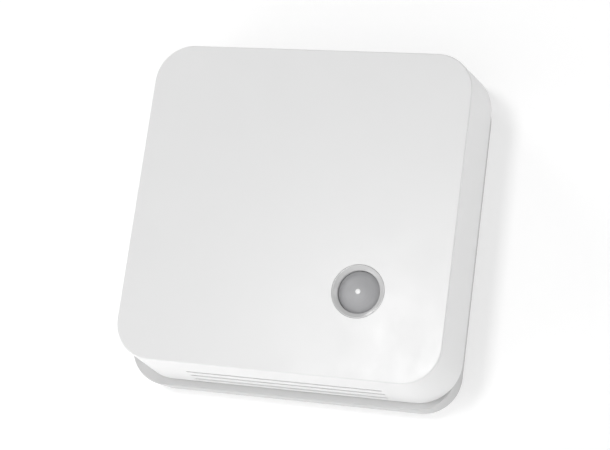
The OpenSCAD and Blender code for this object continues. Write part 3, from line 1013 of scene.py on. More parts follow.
@dataclass
class WallPlate:
    """The tray that screws to the wall: straight sides, rim band, ledge, locating tongue and screw holes."""

    radius: float = 10.0 * MM
    band: float = 1.8 * MM
    back_inset: float = 0.2 * MM
    dish_inset: float = 4.0 * MM
    floor: float = 2.0 * MM
    edge: float = 0.25 * MM
    tongue_thick: float = 1.2 * MM
    tongue_high: float = 3.0 * MM
    tongue_gap: float = 0.4 * MM
    ridge_length: float = 18.0 * MM
    ridge_high: float = 0.8 * MM
    ridge_proud: float = 0.2 * MM
    screw_circle: float = 60.0 * MM
    screw_radius: float = 2.1 * MM
    head_radius: float = 4.2 * MM
    head_sink: float = 0.8 * MM
    span: Span = field(init=False)

    def __post_init__(self) -> None:
        """Reads the plate's box."""
        self.span = Span.of("wall_plate")

    @property
    def ledge(self) -> float:
        """Returns the depth of the ledge that faces the cover's rear edge."""
        return self.span.low.y + self.tongue_high

    def rim_ring(self, inset: float, y: float, tighten: float = 1.0) -> list[Vector]:
        """Makes a row of the plate's outside.

        Args:
            inset: How far inside the rim's outline.
            y: The row's depth.
            tighten: How much of the inset comes off the corner radius.

        Returns:
            The row's points.
        """
        size = self.span.size
        outline = rounded_outline(size.x - 2 * inset, size.z - 2 * inset, self.radius - tighten * inset)
        return at_depth(outline, y, (self.span.middle.x, self.span.middle.z))

    def tongue_size(self) -> tuple[float, float, float]:
        """Returns the tongue's width, height and corner radius."""
        cover = CoverShell()
        back = (cover.span.high.y - self.span.low.y) / cover.span.size.y
        lost = 2 * (cover.wall + self.tongue_gap)
        width = cover.span.size.x - 2 * cover.side_draft * back - lost
        height = cover.span.size.z - 2 * cover.top_draft * back - lost
        return width, height, cover.front_radius + cover.side_draft - lost / 2

    def tongue_ring(self, inset: float, y: float) -> list[Vector]:
        """Makes a row of the tongue, inset from its outer surface, at a depth y."""
        width, height, radius = self.tongue_size()
        keep = max(radius - min(inset, self.tongue_thick), 1 * MM)
        return at_depth(rounded_outline(width - 2 * inset, height - 2 * inset, keep), y)

    def tray(self) -> bpy.types.Object:
        """Lofts the closed tray, from its back round the rim, the ledge and the tongue to its floor."""
        soft = self.edge
        rows = [self.rim_ring(self.back_inset + soft - a, -b) for a, b in
                [(0.0, 0.0), (0.7 * soft, 0.3 * soft), (soft, soft)]]
        rows += [self.rim_ring(0.0, self.ledge + self.band)]
        rows += [self.rim_ring(i, self.ledge + o) for i, o in fillet(soft, 5)]
        rows += [self.tongue_ring(0.0, self.ledge)]
        tip = self.span.low.y
        rows += [self.tongue_ring(i, tip + o) for i, o in fillet(soft, 3)]
        rows += [self.tongue_ring(self.tongue_thick - i, tip + o) for i, o in fillet(soft, 3)[::-1]]
        rows += [self.tongue_ring(self.tongue_thick, self.ledge)]
        low = 1.2 * MM
        slope_end = self.tongue_ring(self.dish_inset - 0.4 * MM, -self.floor - low)
        rows += [slope_end, self.tongue_ring(self.dish_inset, -self.floor - 0.35 * low),
                 self.tongue_ring(self.dish_inset + 0.7 * low, -self.floor)]
        build = Builder("wall_plate_tray")
        build.loft(rows)
        return build.done()

    def ridges(self) -> bpy.types.Object:
        """Builds the four shallow ridges on which the cover's rim clicks."""
        width, height, _ = self.tongue_size()
        build = Builder("ridges")
        start = self.ledge - self.tongue_high / 2
        for sx in (-1, 1):
            for sz in (-1, 1):
                x, z = sx * width / 4, sz * (height / 2 - self.tongue_thick / 4)
                reach = self.tongue_thick / 4 + self.ridge_proud
                build.block(Vector((x - self.ridge_length / 2, start, z - reach)),
                            Vector((x + self.ridge_length / 2, start + self.ridge_high, z + reach)), 0.15 * MM)
        return build.done()

    def screw_holes(self) -> bpy.types.Object:
        """Builds the cutter of the four wall screw holes with their head recesses."""
        build = Builder("screw_holes")
        past = 1 * MM
        for quarter in range(4):
            turn = math.pi / 2 * quarter
            centre = Vector((self.screw_circle / 2 * math.cos(turn), past, self.screw_circle / 2 * math.sin(turn)))
            step = past + self.floor - self.head_sink
            build.lathe([(0, 0), (self.screw_radius, 0), (self.screw_radius, step), (self.head_radius, step),
                         (self.head_radius, step + self.head_sink + past), (0, step + self.head_sink + past)],
                        centre, Vector((0, -1, 0)), 64)
        return build.done()

    def build(self, finish: bpy.types.Material) -> None:
        """Builds and dresses the plate.

        Args:
            finish: The plate's material.
        """
        tray = self.tray()
        join_on(tray, [self.ridges()])
        cut_away(tray, [self.screw_holes()])
        weigh_normals(tray)
        dress(tray, finish, Body.PLATE, "plate_plastic", "wall_plate")


@dataclass
class LensStack:
    """The motion lens and what holds it: bezel ring, foam gasket, domed lens, centre pip, holder and sensor can."""

    bezel_radius: float = 6.55 * MM
    bezel_width: float = 1.25 * MM
    bezel_flange: float = 0.5 * MM
    bezel_slope: float = 0.7 * MM
    dome_radius: float = 5.2 * MM
    dome_rise: float = 1.5 * MM
    lens_thick: float = 0.8 * MM
    foot_thick: float = 0.75 * MM
    groove_pitch: float = 0.45 * MM
    groove_deep: float = 0.12 * MM
    brim_thick: float = 0.4 * MM
    brim_radius: float = 4.8 * MM
    can_radius: float = 4.6 * MM
    toward_room: Vector = field(default_factory=lambda: Vector((0, -1, 0)))

    def base(self, node: str) -> Vector:
        """Returns the point on a node's axis at its face nearest the wall."""
        span = Span.of(node)
        return Vector((span.middle.x, span.high.y, span.middle.z))

    def bezel(self) -> bpy.types.Object:
        """Turns the bezel: a flange behind the cover and a ring whose face slopes in to the lens."""
        span = Span.of("lens_bezel")
        depth, flange = span.size.y, span.size.x / 2
        inner, soft, lip = self.bezel_radius - self.bezel_width, 0.1 * MM, 0.12 * MM
        profile = [(inner, 0), (flange - soft, 0), (flange, soft), (flange, self.bezel_flange - soft),
                   (flange - soft, self.bezel_flange), (self.bezel_radius, self.bezel_flange)]
        profile += [(self.bezel_radius - i, depth - o) for i, o in fillet(lip, 5)]
        profile += [(self.bezel_radius - lip - 0.1 * MM, depth),
                    (self.bezel_radius - lip - 0.22 * MM, depth - 0.05 * MM)]
        end = (inner + 0.12 * MM, depth - self.bezel_slope + 0.08 * MM)
        profile += [end, (inner + 0.03 * MM, depth - self.bezel_slope), (inner, depth - self.bezel_slope - 0.12 * MM)]
        build = Builder("lens_bezel_ring")
        build.lathe(profile, self.base("lens_bezel"), self.toward_room, 128)
        return build.done(50.0)

    def dome_height(self, ball: float, radius: float, top: float) -> float:
        """Returns the height of a ball's surface, whose top is at a height, at a radius from the axis."""
        return top - ball + math.sqrt(max(ball * ball - radius * radius, 0.0))

    def lens(self) -> bpy.types.Object:
        """Turns the lens: a smooth dome outside and stepped light-gathering rings inside."""
        span = Span.of("pir_lens")
        top = span.size.y
        foot = span.size.x / 2
        ball = (self.dome_radius ** 2 + self.dome_rise ** 2) / (2 * self.dome_rise)
        pip = Span.of("lens_centre_pip").size.x / 2 + 0.01 * MM
        sunk = top - Span.of("lens_centre_pip").size.y
        steps = 28
        profile = [(0, sunk), (pip, sunk)]
        for i in range(steps + 1):
            radius = pip + (self.dome_radius - pip) * i / steps
            profile.append((radius, self.dome_height(ball, radius, top)))
        profile += [(self.dome_radius, self.foot_thick + 0.15 * MM), (self.dome_radius + 0.15 * MM, self.foot_thick),
                    (foot - 0.1 * MM, self.foot_thick), (foot, self.foot_thick - 0.1 * MM), (foot, 0),
                    (self.dome_radius - self.lens_thick, 0)]
        inner_radius, radius = self.dome_radius - self.lens_thick, self.dome_radius - self.lens_thick
        count = int(inner_radius / self.groove_pitch)
        for i in range(count):
            radius = inner_radius - i * self.groove_pitch
            height = self.dome_height(ball, radius, top) - self.lens_thick
            profile += [(radius, height), (radius - 0.9 * self.groove_pitch, height - self.groove_deep)]
        profile.append((0, top - self.lens_thick - self.groove_deep))
        build = Builder("motion_lens")
        build.lathe(profile, self.base("pir_lens"), self.toward_room, 128)
        return build.done(35.0)

    def pip(self) -> bpy.types.Object:
        """Turns the small pip in the middle of the lens."""
        span = Span.of("lens_centre_pip")
        radius, height = span.size.x / 2, span.size.y
        soft = 0.12 * MM
        profile = [(0, 0), (radius, 0)] + [(radius - i, height - o) for i, o in fillet(soft, 4)] + [(0, height)]
        build = Builder("lens_pip")
        build.lathe(profile, self.base("lens_centre_pip"), self.toward_room, 40)
        return build.done()

    def gasket(self) -> bpy.types.Object:
        """Turns the foam ring between the bezel and the lens' foot."""
        span = Span.of("lens_gasket")
        inner, outer, thick, soft = self.bezel_radius - self.bezel_width, span.size.x / 2, span.size.y, 0.12 * MM
        profile = [(inner, soft), (inner + soft, 0), (outer - soft, 0), (outer, soft), (outer, thick - soft),
                   (outer - soft, thick), (inner + soft, thick), (inner, thick - soft)]
        build = Builder("foam_gasket")
        build.lathe(profile, self.base("lens_gasket"), self.toward_room, 96)
        return build.done()

    def holder(self) -> bpy.types.Object:
        """Turns the black holder between the lens and the board."""
        span = Span.of("lens_holder")
        outer, high, soft = span.size.x / 2, span.size.y, 0.2 * MM
        inner = self.brim_radius + 0.15 * MM
        profile = [(inner, 0), (outer, 0), (outer, high - soft), (outer - soft, high), (inner + soft, high),
                   (inner, high - soft)]
        build = Builder("lens_holder_ring")
        build.lathe(profile, self.base("lens_holder"), self.toward_room, 96)
        return build.done()

    def can(self) -> bpy.types.Object:
        """Turns the sensor can with its brim, and cuts the window for the filter."""
        span, window = Span.of("pir_sensor"), Span.of("pir_filter")
        high, soft = span.size.y, 0.5 * MM
        profile = [(0, 0), (self.brim_radius, 0), (self.brim_radius, self.brim_thick),
                   (self.can_radius + 0.1 * MM, self.brim_thick), (self.can_radius, self.brim_thick + 0.1 * MM)]
        profile += [(self.can_radius - i, high - o) for i, o in fillet(soft, 5)] + [(0, high)]
        build = Builder("sensor_can")
        build.lathe(profile, self.base("pir_sensor"), self.toward_room, 80)
        can = build.done(30.0)
        cutter = Builder("window")
        gap = 0.05 * MM
        cutter.block(window.low - Vector((gap, 1 * MM, gap)), window.high + Vector((gap, 0.02 * MM, gap)))
        cut_away(can, [cutter.done()], 30.0)
        return can

    def build(self, finishes: dict[str, bpy.types.Material]) -> None:
        """Builds and dresses the stack.

        Args:
            finishes: The materials by slot name.
        """
        for piece, slot, node in ((self.bezel(), "bezel_plastic", "lens_bezel"), (self.lens(), "lens_plastic", "pir_lens"),
                                  (self.pip(), "pip_plastic", "lens_centre_pip"), (self.gasket(), "gasket_foam", "lens_gasket"),
                                  (self.holder(), "black_plastic", "lens_holder"), (self.can(), "can_metal", "pir_sensor")):
            dress(piece, finishes[slot], Body.UNIT, slot, node)
        refine_node("pir_filter", finishes["filter_glass"])


@dataclass
class PowerBay:
    """The two cells in their holder, with caps, springs and contact plates."""

    crimp: float = 0.35 * MM
    spring_wire: float = 0.3 * MM
    spring_small: float = 2.6 * MM
    spring_big: float = 4.2 * MM
    spring_turns: int = 4
    plate_thick: float = 0.4 * MM

    def cell(self, name: str, node: str, side: float) -> bpy.types.Object:
        """Turns one cell, with its rolled ends and wrap.

        Args:
            name: The piece's name.
            node: The CAD node that it stands for.
            side: 1 where its cap points right, or -1.

        Returns:
            The cell.
        """
        span = Span.of(node)
        length, radius = span.size.x, span.size.z / 2
        soft = self.crimp
        profile = [(0, 0.1 * MM), (radius - 2.6 * MM, 0.1 * MM), (radius - 2.3 * MM, 0), (radius - 3 * soft, 0),
                   (radius - 1.6 * soft, 0.25 * soft), (radius - 0.7 * soft, 0.7 * soft), (radius, 1.6 * soft),
                   (radius, length - 2.2 * soft), (radius - 0.35 * soft, length - 1.2 * soft),
                   (radius - 1.3 * soft, length - 0.4 * soft), (radius - 2.4 * soft, length),
                   (radius - 4 * soft, length), (radius - 4.5 * soft, length - 0.5 * soft), (0, length - 0.5 * soft)]
        start = Vector((span.low.x if side > 0 else span.high.x, span.middle.y, span.middle.z))
        build = Builder(name)
        build.lathe(profile, start, Vector((side, 0, 0)), 96)
        return build.done(50.0)

    def caps(self) -> bpy.types.Object:
        """Turns both positive caps."""
        span = Span.of("cell_caps")
        build = Builder("positive_caps")
        for node, side in (("battery_upper", 1.0), ("battery_lower", -1.0)):
            cell = Span.of(node)
            radius = 2.7 * MM
            foot = cell.high.x if side > 0 else cell.low.x
            high = (span.high.x - foot) if side > 0 else (foot - span.low.x)
            soft, lift = 0.35 * MM, 0.03 * MM
            profile = [(0, lift), (radius, lift), (radius - 0.15 * MM, 0.3 * MM)]
            profile += [(radius - 0.2 * MM - i, high - o) for i, o in fillet(soft, 4)] + [(0, high)]
            build.lathe(profile, Vector((foot, cell.middle.y, cell.middle.z)), Vector((side, 0, 0)), 48)
        return build.done(50.0)

    def springs(self) -> bpy.types.Object:
        """Sweeps the two coil springs that press on the cells' flat ends."""
        span = Span.of("contact_springs")
        build = Builder("coil_springs")
        sides, steps = 12, 36 * self.spring_turns
        for node, side in (("battery_upper", 1.0), ("battery_lower", -1.0)):
            cell = Span.of(node)
            foot = span.low.x if side > 0 else span.high.x
            tip = cell.low.x if side > 0 else cell.high.x
            reach = abs(tip - foot) - 2 * self.spring_wire - 0.08 * MM
            rows = []
            for i in range(steps + 1):
                part = i / steps
                radius = self.spring_big + (self.spring_small - self.spring_big) * part
                turn = 2 * math.pi * self.spring_turns * part
                out = Vector((0, math.cos(turn), math.sin(turn)))
                along = Vector((side, 0, 0))
                middle = Vector((foot + side * (self.spring_wire + reach * part), cell.middle.y, cell.middle.z)) + out * radius
                rows.append([middle + (out * math.cos(a) + along * math.sin(a)) * self.spring_wire
                             for a in (2 * math.pi * k / sides for k in range(sides))])
            build.loft(rows)
        return build.done(60.0)

    def contacts(self) -> bpy.types.Object:
        """Builds the four contact plates, each with rounded corners."""
        span = Span.of("contact_plates")
        build = Builder("contact_plates_pressed")
        for node in ("battery_upper", "battery_lower"):
            cell = Span.of(node)
            half = 5.5 * MM
            for side in (-1.0, 1.0):
                outer = span.high.x if side > 0 else span.low.x
                low, high = span.low.y, span.high.y
                outline = rounded_outline(2 * half, high - low, 1.2 * MM, 6, 2)
                rows = []
                for step in (0.0, self.plate_thick):
                    rows.append([Vector((outer - side * step, (low + high) / 2 + b, cell.middle.z + a)) for a, b in outline])
                build.loft(rows)
        return build.done()

    def build(self, finishes: dict[str, bpy.types.Material]) -> None:
        """Builds and dresses the bay.

        Args:
            finishes: The materials by slot name.
        """
        upper = self.cell("cell_upper", "battery_upper", 1.0)
        lower = self.cell("cell_lower", "battery_lower", -1.0)
        dress(upper, finishes["cell_wrap_right"], Body.UNIT, "cell_wrap", "battery_upper")
        dress(lower, finishes["cell_wrap_left"], Body.UNIT, "cell_wrap", "battery_lower")
        dress(self.caps(), finishes["cap_steel"], Body.UNIT, "cap_steel", "cell_caps")
        dress(self.springs(), finishes["contact_nickel"], Body.UNIT, "contact_nickel", "contact_springs")
        dress(self.contacts(), finishes["contact_nickel"], Body.UNIT, "contact_nickel", "contact_plates")
        refine_node("battery_holder", finishes["black_plastic"], 0.25 * MM)


@dataclass
class CircuitBoard:
    """The board with its fixing screws, its parts on both sides, and its solder work."""

    screw_head: float = 2.5 * MM
    shank_radius: float = 1.05 * MM
    land_radius: float = 3.1 * MM
    chip_size: tuple[float, float, float] = (1.6 * MM, 0.8 * MM, 0.55 * MM)
    span: Span = field(init=False)

    def __post_init__(self) -> None:
        """Reads the board's box."""
        self.span = Span.of("main_pcb")

    def screws(self, places: Sequence[Point2]) -> bpy.types.Object:
        """Turns the pan-head screws, and cuts the cross in each head.

        Args:
            places: The screws' (x, z) places.

        Returns:
            The screws.
        """
        span = Span.of("pcb_screws")
        build, cutter = Builder("board_screws"), Builder("crosses")
        for x, z in places:
            start = Vector((x, span.low.y, z))
            neck = self.span.high.y + 0.05 * MM - span.low.y
            head = span.high.y - span.low.y
            profile = [(0, 0), (0.4 * self.shank_radius, 0)]
            threads, pitch = 7, 0.8 * MM
            for i in range(threads):
                low = 0.9 * MM + i * pitch
                profile += [(0.82 * self.shank_radius, low), (self.shank_radius, low + 0.35 * pitch),
                            (self.shank_radius, low + 0.5 * pitch), (0.82 * self.shank_radius, low + 0.85 * pitch)]
            profile += [(self.shank_radius, neck - 0.1 * MM), (self.shank_radius, neck)]
            profile += [(self.screw_head, neck)] + [(self.screw_head - i, head - 0.6 * o) for i, o in fillet(0.9 * MM, 6)]
            build.lathe(profile + [(0, head)], start, Vector((0, 1, 0)), 40)
            for turn in (0.0, math.pi / 2):
                across = Vector((1.4 * MM, 0, 0.28 * MM)) if turn == 0 else Vector((0.28 * MM, 0, 1.4 * MM))
                base = Vector((x, span.high.y, z))
                cutter.block(base - across - Vector((0, 0.8 * MM, 0)), base + across + Vector((0, 1 * MM, 0)))
        screws = build.done(30.0)
        cut_away(screws, [cutter.done()], 30.0)
        return screws

    def lands(self, places: Sequence[Point2]) -> bpy.types.Object:
        """Builds the tinned rings round the screws, and the test pads, on the wall side of the board."""
        build = Builder("tinned_lands")
        face = self.span.high.y
        thick = 0.04 * MM
        for x, z in places:
            build.lathe([(1.5 * MM, 0), (self.land_radius, 0), (self.land_radius, thick), (1.5 * MM, thick)],
                        Vector((x, face, z)), Vector((0, 1, 0)), 48)
        for i in range(8):
            build.lathe([(0, 0), (0.75 * MM, 0), (0.75 * MM, thick), (0, thick)],
                        Vector(((-30 + 2.6 * i) * MM, face, -27.5 * MM)), Vector((0, 1, 0)), 24)
        return build.done()

    def chip_places(self, facing: Facing) -> list[tuple[float, float, bool]]:
        """Lists the places of the small chip parts on one side.

        Args:
            facing: The side of the board.

        Returns:
            For each part its x, its z and whether it stands upright.
        """
        if facing is Facing.WALL:
            rows = [((10 + 3.2 * i) * MM, -22 * MM, True) for i in range(6)]
            rows += [((10 + 3.2 * i) * MM, -27 * MM, i % 2 == 0) for i in range(6)]
            rows += [((-12 + 2.8 * i) * MM, -13 * MM, True) for i in range(4)]
            rows += [(x * MM, -20 * MM, False) for x in (-12, -9, -4, 0)]
            return rows
        rows = [((21 + 2.6 * i) * MM, z * MM, True) for i in range(4) for z in (8, 12, 16)]
        rows += [((8 + 2.8 * i) * MM, 20 * MM, False) for i in range(5)]
        rows += [((-2 + 2.8 * i) * MM, -8 * MM, True) for i in range(6)]
        rows += [(x * MM, -4 * MM, False) for x in (-24, -20, -14, 4, 8)]
        return rows

    def chips(self, facing: Facing) -> tuple[bpy.types.Object, bpy.types.Object]:
        """Builds the small chip parts on one side.

        Args:
            facing: The side of the board.

        Returns:
            Their bodies, and their tinned ends.
        """
        bodies = Builder(f"chip_bodies_{facing.name.lower()}")
        ends = Builder(f"chip_ends_{facing.name.lower()}")
        length, width, high = self.chip_size
        face = self.span.low.y if facing is Facing.ROOM else self.span.high.y
        for x, z, upright in self.chip_places(facing):
            along = Vector((0, 0, 1)) if upright else Vector((1, 0, 0))
            across = Vector((1, 0, 0)) if upright else Vector((0, 0, 1))
            foot = Vector((x, face, z))
            rise = Vector((0, facing.value * high, 0))
            core = along * (length / 2 - 0.3 * MM) + across * (width / 2 - 0.02 * MM)
            lift = Vector((0, facing.value * 0.03 * MM, 0))
            bodies.block(*sorted_corners(foot - core + lift, foot + core + rise - lift), chamfer=0.03 * MM)
            for end in (-1, 1):
                middle = foot + along * end * (length / 2 - 0.15 * MM)
                spread = along * 0.15 * MM + across * width / 2
                ends.block(*sorted_corners(middle - spread + lift / 3, middle + spread + rise), chamfer=0.05 * MM)
                pad = foot + along * end * (length / 2 + 0.05 * MM)
                size = along * 0.35 * MM + across * (width / 2 + 0.08 * MM)
                ends.block(*sorted_corners(pad - size + lift / 30, pad + size + lift))
        return bodies.done(30.0), ends.done(30.0)

    def build(self, finishes: dict[str, bpy.types.Material], places: Sequence[Point2]) -> None:
        """Builds and dresses the board.

        Args:
            finishes: The materials by slot name.
            places: The screws' (x, z) places.
        """
        refine_node("main_pcb", finishes["board_green"])
        dress(self.screws(places), finishes["screw_steel"], Body.UNIT, "screw_steel", "pcb_screws")
        dress(self.lands(places), finishes["solder_tin"], Body.UNIT, "shield_metal")
        for facing in Facing:
            bodies, ends = self.chips(facing)
            dress(bodies, finishes["chip_ceramic"], Body.UNIT, "chip_black")
            dress(ends, finishes["solder_tin"], Body.UNIT, "shield_metal")
        for node, slot, edge in (("radio_board", "board_blue", 0.0), ("radio_shield", "shield_metal", 0.2),
                                 ("antenna", "trace_copper", 0.0), ("co2_sensor", "can_metal", 0.3),
                                 ("co2_membrane", "membrane", 0.0), ("humidity_sensor", "chip_black", 0.06),
                                 ("microcontroller", "chip_black", 0.06), ("quartz_crystal", "shield_metal", 0.08),
                                 ("status_led", "led_resin", 0.1), ("switch_body", "black_plastic", 0.15),
                                 ("service_header", "black_plastic", 0.15)):
            refine_node(node, finishes[slot], edge * MM)


@dataclass
class WiringSide:
    """The tall parts on the wall side of the board: capacitor, test button, header pins and their leads."""

    pin_count: int = 6
    pin_half: float = 0.32 * MM
    lead_radius: float = 0.3 * MM

    def capacitor(self) -> bpy.types.Object:
        """Turns the lying capacitor, with its sleeve rolled over the bead and the end."""
        span = Span.of("buffer_capacitor")
        radius, length = span.size.z / 2, span.size.x
        profile = [(0, 0.35 * MM), (radius - 1.2 * MM, 0.35 * MM), (radius - 1.0 * MM, 0)]
        profile += [(radius - 0.3 * MM, 0.1 * MM), (radius, 0.5 * MM), (radius, 1.4 * MM), (radius - 0.25 * MM, 1.8 * MM),
                    (radius - 0.35 * MM, 2.1 * MM), (radius - 0.25 * MM, 2.4 * MM), (radius, 2.8 * MM),
                    (radius, length - 0.5 * MM), (radius - 0.15 * MM, length - 0.15 * MM), (radius - 0.5 * MM, length),
                    (radius - 0.9 * MM, length - 0.05 * MM), (radius - 1.0 * MM, length - 0.25 * MM),
                    (0, length - 0.25 * MM)]
        build = Builder("capacitor_can")
        build.lathe(profile, Vector((span.low.x, span.middle.y, span.middle.z)), Vector((1, 0, 0)), 72)
        return build.done(50.0)

    def leads(self) -> bpy.types.Object:
        """Sweeps the capacitor's two leads from its bead down to the board."""
        span = Span.of("buffer_capacitor")
        board = Span.of("main_pcb").high.y
        build = Builder("capacitor_leads")
        for side in (-1, 1):
            z = span.middle.z + side * 1.75 * MM
            path = [Vector((span.low.x + 0.2 * MM, span.middle.y, z)), Vector((span.low.x - 0.8 * MM, span.middle.y, z))]
            bend = 0.9 * MM
            centre = Vector((span.low.x - 0.8 * MM, span.middle.y - bend, z))
            path += [centre + Vector((-bend * math.sin(a), bend * math.cos(a), 0)) for a in
                     (math.pi / 2 * i / 6 for i in range(1, 7))]
            path += [Vector((span.low.x - 0.8 * MM - bend, board + 0.02 * MM, z))]
            build.loft(tube_rows(path, self.lead_radius, 12))
        return build.done(60.0)

    def button(self) -> bpy.types.Object:
        """Turns the test button, with a rounded edge and a shallow dish on top."""
        span = Span.of("button_plunger")
        radius, high, soft = span.size.x / 2, span.size.y, 0.25 * MM
        profile = [(0, 0), (radius, 0)] + [(radius - i, high - o) for i, o in fillet(soft, 4)]
        profile += [(radius - 2.6 * soft, high - 0.02 * MM), (radius - 4 * soft, high - 0.1 * MM), (0, high - 0.14 * MM)]
        build = Builder("test_button_cap")
        build.lathe(profile, Vector((span.middle.x, span.low.y, span.middle.z)), Vector((0, 1, 0)), 48)
        return build.done()

    def pins(self) -> bpy.types.Object:
        """Builds the header's pins, each with a drawn tip."""
        span = Span.of("header_pins")
        pitch = (span.size.x - 2 * self.pin_half) / (self.pin_count - 1)
        build = Builder("header_pins_drawn")
        for number in range(self.pin_count):
            x = span.low.x + self.pin_half + number * pitch
            rows = []
            for y, half in ((span.low.y, self.pin_half), (span.high.y - 0.7 * MM, self.pin_half),
                            (span.high.y, 0.45 * self.pin_half)):
                rows.append([Vector((x + sx * half, y, span.middle.z + sz * half)) for sx, sz in
                             ((-1, -1), (1, -1), (1, 1), (-1, 1))])
            build.loft(rows)
        return build.done(30.0)

    def switch_cover(self) -> bpy.types.Object:
        """Builds the pressed metal legs of the test switch."""
        span = Span.of("switch_body")
        board = Span.of("main_pcb").high.y
        build = Builder("switch_legs")
        for sx in (-1, 1):
            for sz in (-1, 1):
                x = span.middle.x + sx * (span.size.x / 2 + 0.02 * MM)
                z = span.middle.z + sz * 2.2 * MM
                build.block(*sorted_corners(Vector((x, board + 0.02 * MM, z - 0.35 * MM)),
                                            Vector((x + sx * 1.2 * MM, board + 0.22 * MM, z + 0.35 * MM))), chamfer=0.04 * MM)
                build.block(*sorted_corners(Vector((x, board + 0.02 * MM, z - 0.35 * MM)),
                                            Vector((x + sx * 0.2 * MM, board + 1.4 * MM, z + 0.35 * MM))), chamfer=0.04 * MM)
        return build.done(30.0)

    def build(self, finishes: dict[str, bpy.types.Material]) -> None:
        """Builds and dresses the parts.

        Args:
            finishes: The materials by slot name.
        """
        dress(self.capacitor(), finishes["sleeve_plastic"], Body.UNIT, "sleeve_plastic", "buffer_capacitor")
        dress(self.leads(), finishes["solder_tin"], Body.UNIT, "shield_metal")
        dress(self.button(), finishes["button_plastic"], Body.BUTTON, "button_plastic", "button_plunger")
        dress(self.pins(), finishes["pin_gold"], Body.UNIT, "pin_gold", "header_pins")
        dress(self.switch_cover(), finishes["solder_tin"], Body.UNIT, "shield_metal")


# --------------------------------------------------------------------------------------------------------------
# Studio
# --------------------------------------------------------------------------------------------------------------


@dataclass
class Studio:
    """The camera, the wall and floor, and the lights."""

    lens: float = 93.17
    camera_at: tuple[float, float, float] = (0.12168, -0.38612, -0.08346)
    right: tuple[float, float, float] = (0.94998, 0.28296, 0.13217)
    up: tuple[float, float, float] = (-0.06473, -0.23563, 0.96968)
    back: tuple[float, float, float] = (0.30552, -0.92974, -0.20553)
    wall_gap: float = 0.4 * MM
    stage_reach: float = 1.6
    floor_drop: float = 0.32
    air: Colour = (1.0, 1.0, 1.0)
    air_strength: float = 0.2

    def camera(self) -> None:
        """Places the camera."""
        data = bpy.data.cameras.new("studio_camera")
        data.lens, data.sensor_width, data.sensor_fit = self.lens, 36.0, "HORIZONTAL"
        data.clip_start = 0.01
        camera = bpy.data.objects.new("studio_camera", data)
        turn = Matrix((self.right, self.up, self.back)).transposed()
        camera.matrix_world = Matrix.Translation(self.camera_at) @ turn.to_4x4()
        bpy.context.scene.collection.objects.link(camera)
        bpy.context.scene.camera = camera

    def sheet(self, name: str, corners: Sequence[Vector], finish: bpy.types.Material) -> None:
        """Makes one flat stage sheet from its four corners."""
        data = bpy.data.meshes.new(name)
        data.from_pydata(corners, [], [(0, 1, 2, 3)])
        piece = bpy.data.objects.new(name, data)
        data.materials.append(finish)
        bpy.context.scene.collection.objects.link(piece)
        piece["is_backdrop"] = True

    def stage(self) -> None:
        """Builds the wall behind the object and the floor below it."""
        far, wall, low = self.stage_reach, self.wall_gap, -self.floor_drop
        self.sheet("stage_wall", [Vector((-far, wall, low)), Vector((far, wall, low)), Vector((far, wall, far)),
                                  Vector((-far, wall, far))], WallPaint("stage_wall_paint").build())
        self.sheet("stage_floor", [Vector((-far, -far, low)), Vector((far, -far, low)), Vector((far, far, low)),
                                   Vector((-far, far, low))], WallPaint("stage_floor_paint").build())

    def lamp(self, name: str, place: tuple, aim: tuple, size: float, power: float) -> None:
        """Adds a soft square lamp.

        Args:
            name: The lamp's name.
            place: Where it stands.
            aim: What it points at.
            size: Its side.
            power: Its power in watts.
        """
        data = bpy.data.lights.new(name, "AREA")
        data.shape, data.size, data.energy = "SQUARE", size, power
        lamp = bpy.data.objects.new(name, data)
        lamp.location = place
        lamp.visible_camera = False
        lamp.rotation_euler = (Vector(aim) - Vector(place)).to_track_quat("-Z", "Y").to_euler()
        bpy.context.scene.collection.objects.link(lamp)

    def lights(self) -> None:
        """Lights the stage with an even sky and soft lamps."""
        world = bpy.data.worlds.new("studio_air")
        world.use_nodes = True
        background = world.node_tree.nodes["Background"]
        background.inputs["Color"].default_value = rgba(self.air)
        background.inputs["Strength"].default_value = self.air_strength
        bpy.context.scene.world = world
        bpy.context.scene.view_settings.view_transform = "Standard"
        self.lamp("high_left", (-0.60, -0.30, 0.60), (0, 0, 0), 0.3, 2.2)
        self.lamp("front_window", (-0.15, -0.90, 0.05), (0, 0, 0), 0.12, 2.25)
        self.lamp("right_fill", (0.60, -0.40, 0.20), (0, 0, 0), 0.3, 0.78)
        self.lamp("low_sweep", (-0.22, -0.10, -0.24), (0.0, -0.015, -0.04), 0.12, 0.15)

    def build(self) -> None:
        """Sets up the whole studio."""
        self.camera()
        self.stage()
        self.lights()


def sorted_corners(first: Vector, second: Vector) -> tuple[Vector, Vector]:
    """Returns the lowest and the highest corner of the box between two points."""
    return (Vector(tuple(min(a, b) for a, b in zip(first, second))),
            Vector(tuple(max(a, b) for a, b in zip(first, second))))


def tube_rows(path: Sequence[Vector], radius: float, sides: int) -> list[list[Vector]]:
    """Makes the rows of a round tube along a flat path.

    Args:
        path: Points along the tube's middle.
        radius: The tube's radius.
        sides: Points round each row.

    Returns:
        The rows.
    """
    rows = []
    upright = Vector((0, 0, 1))
    for i, point in enumerate(path):
        ahead, behind = path[min(i + 1, len(path) - 1)], path[max(i - 1, 0)]
        along = (ahead - behind).normalized()
        out = along.cross(upright).normalized()
        rows.append([point + (out * math.cos(a) + upright * math.sin(a)) * radius
                     for a in (2 * math.pi * k / sides for k in range(sides))])
    return rows


def join_on(piece: bpy.types.Object, others: Sequence[bpy.types.Object], smooth: float = 40.0) -> None:
    """Joins solids to a piece as one skin, and removes them.

    Args:
        piece: What they are joined to.
        others: The solids to join.
        smooth: The shading angle afterwards, in degrees.
    """
    settle_booleans(piece, others, "UNION", smooth)


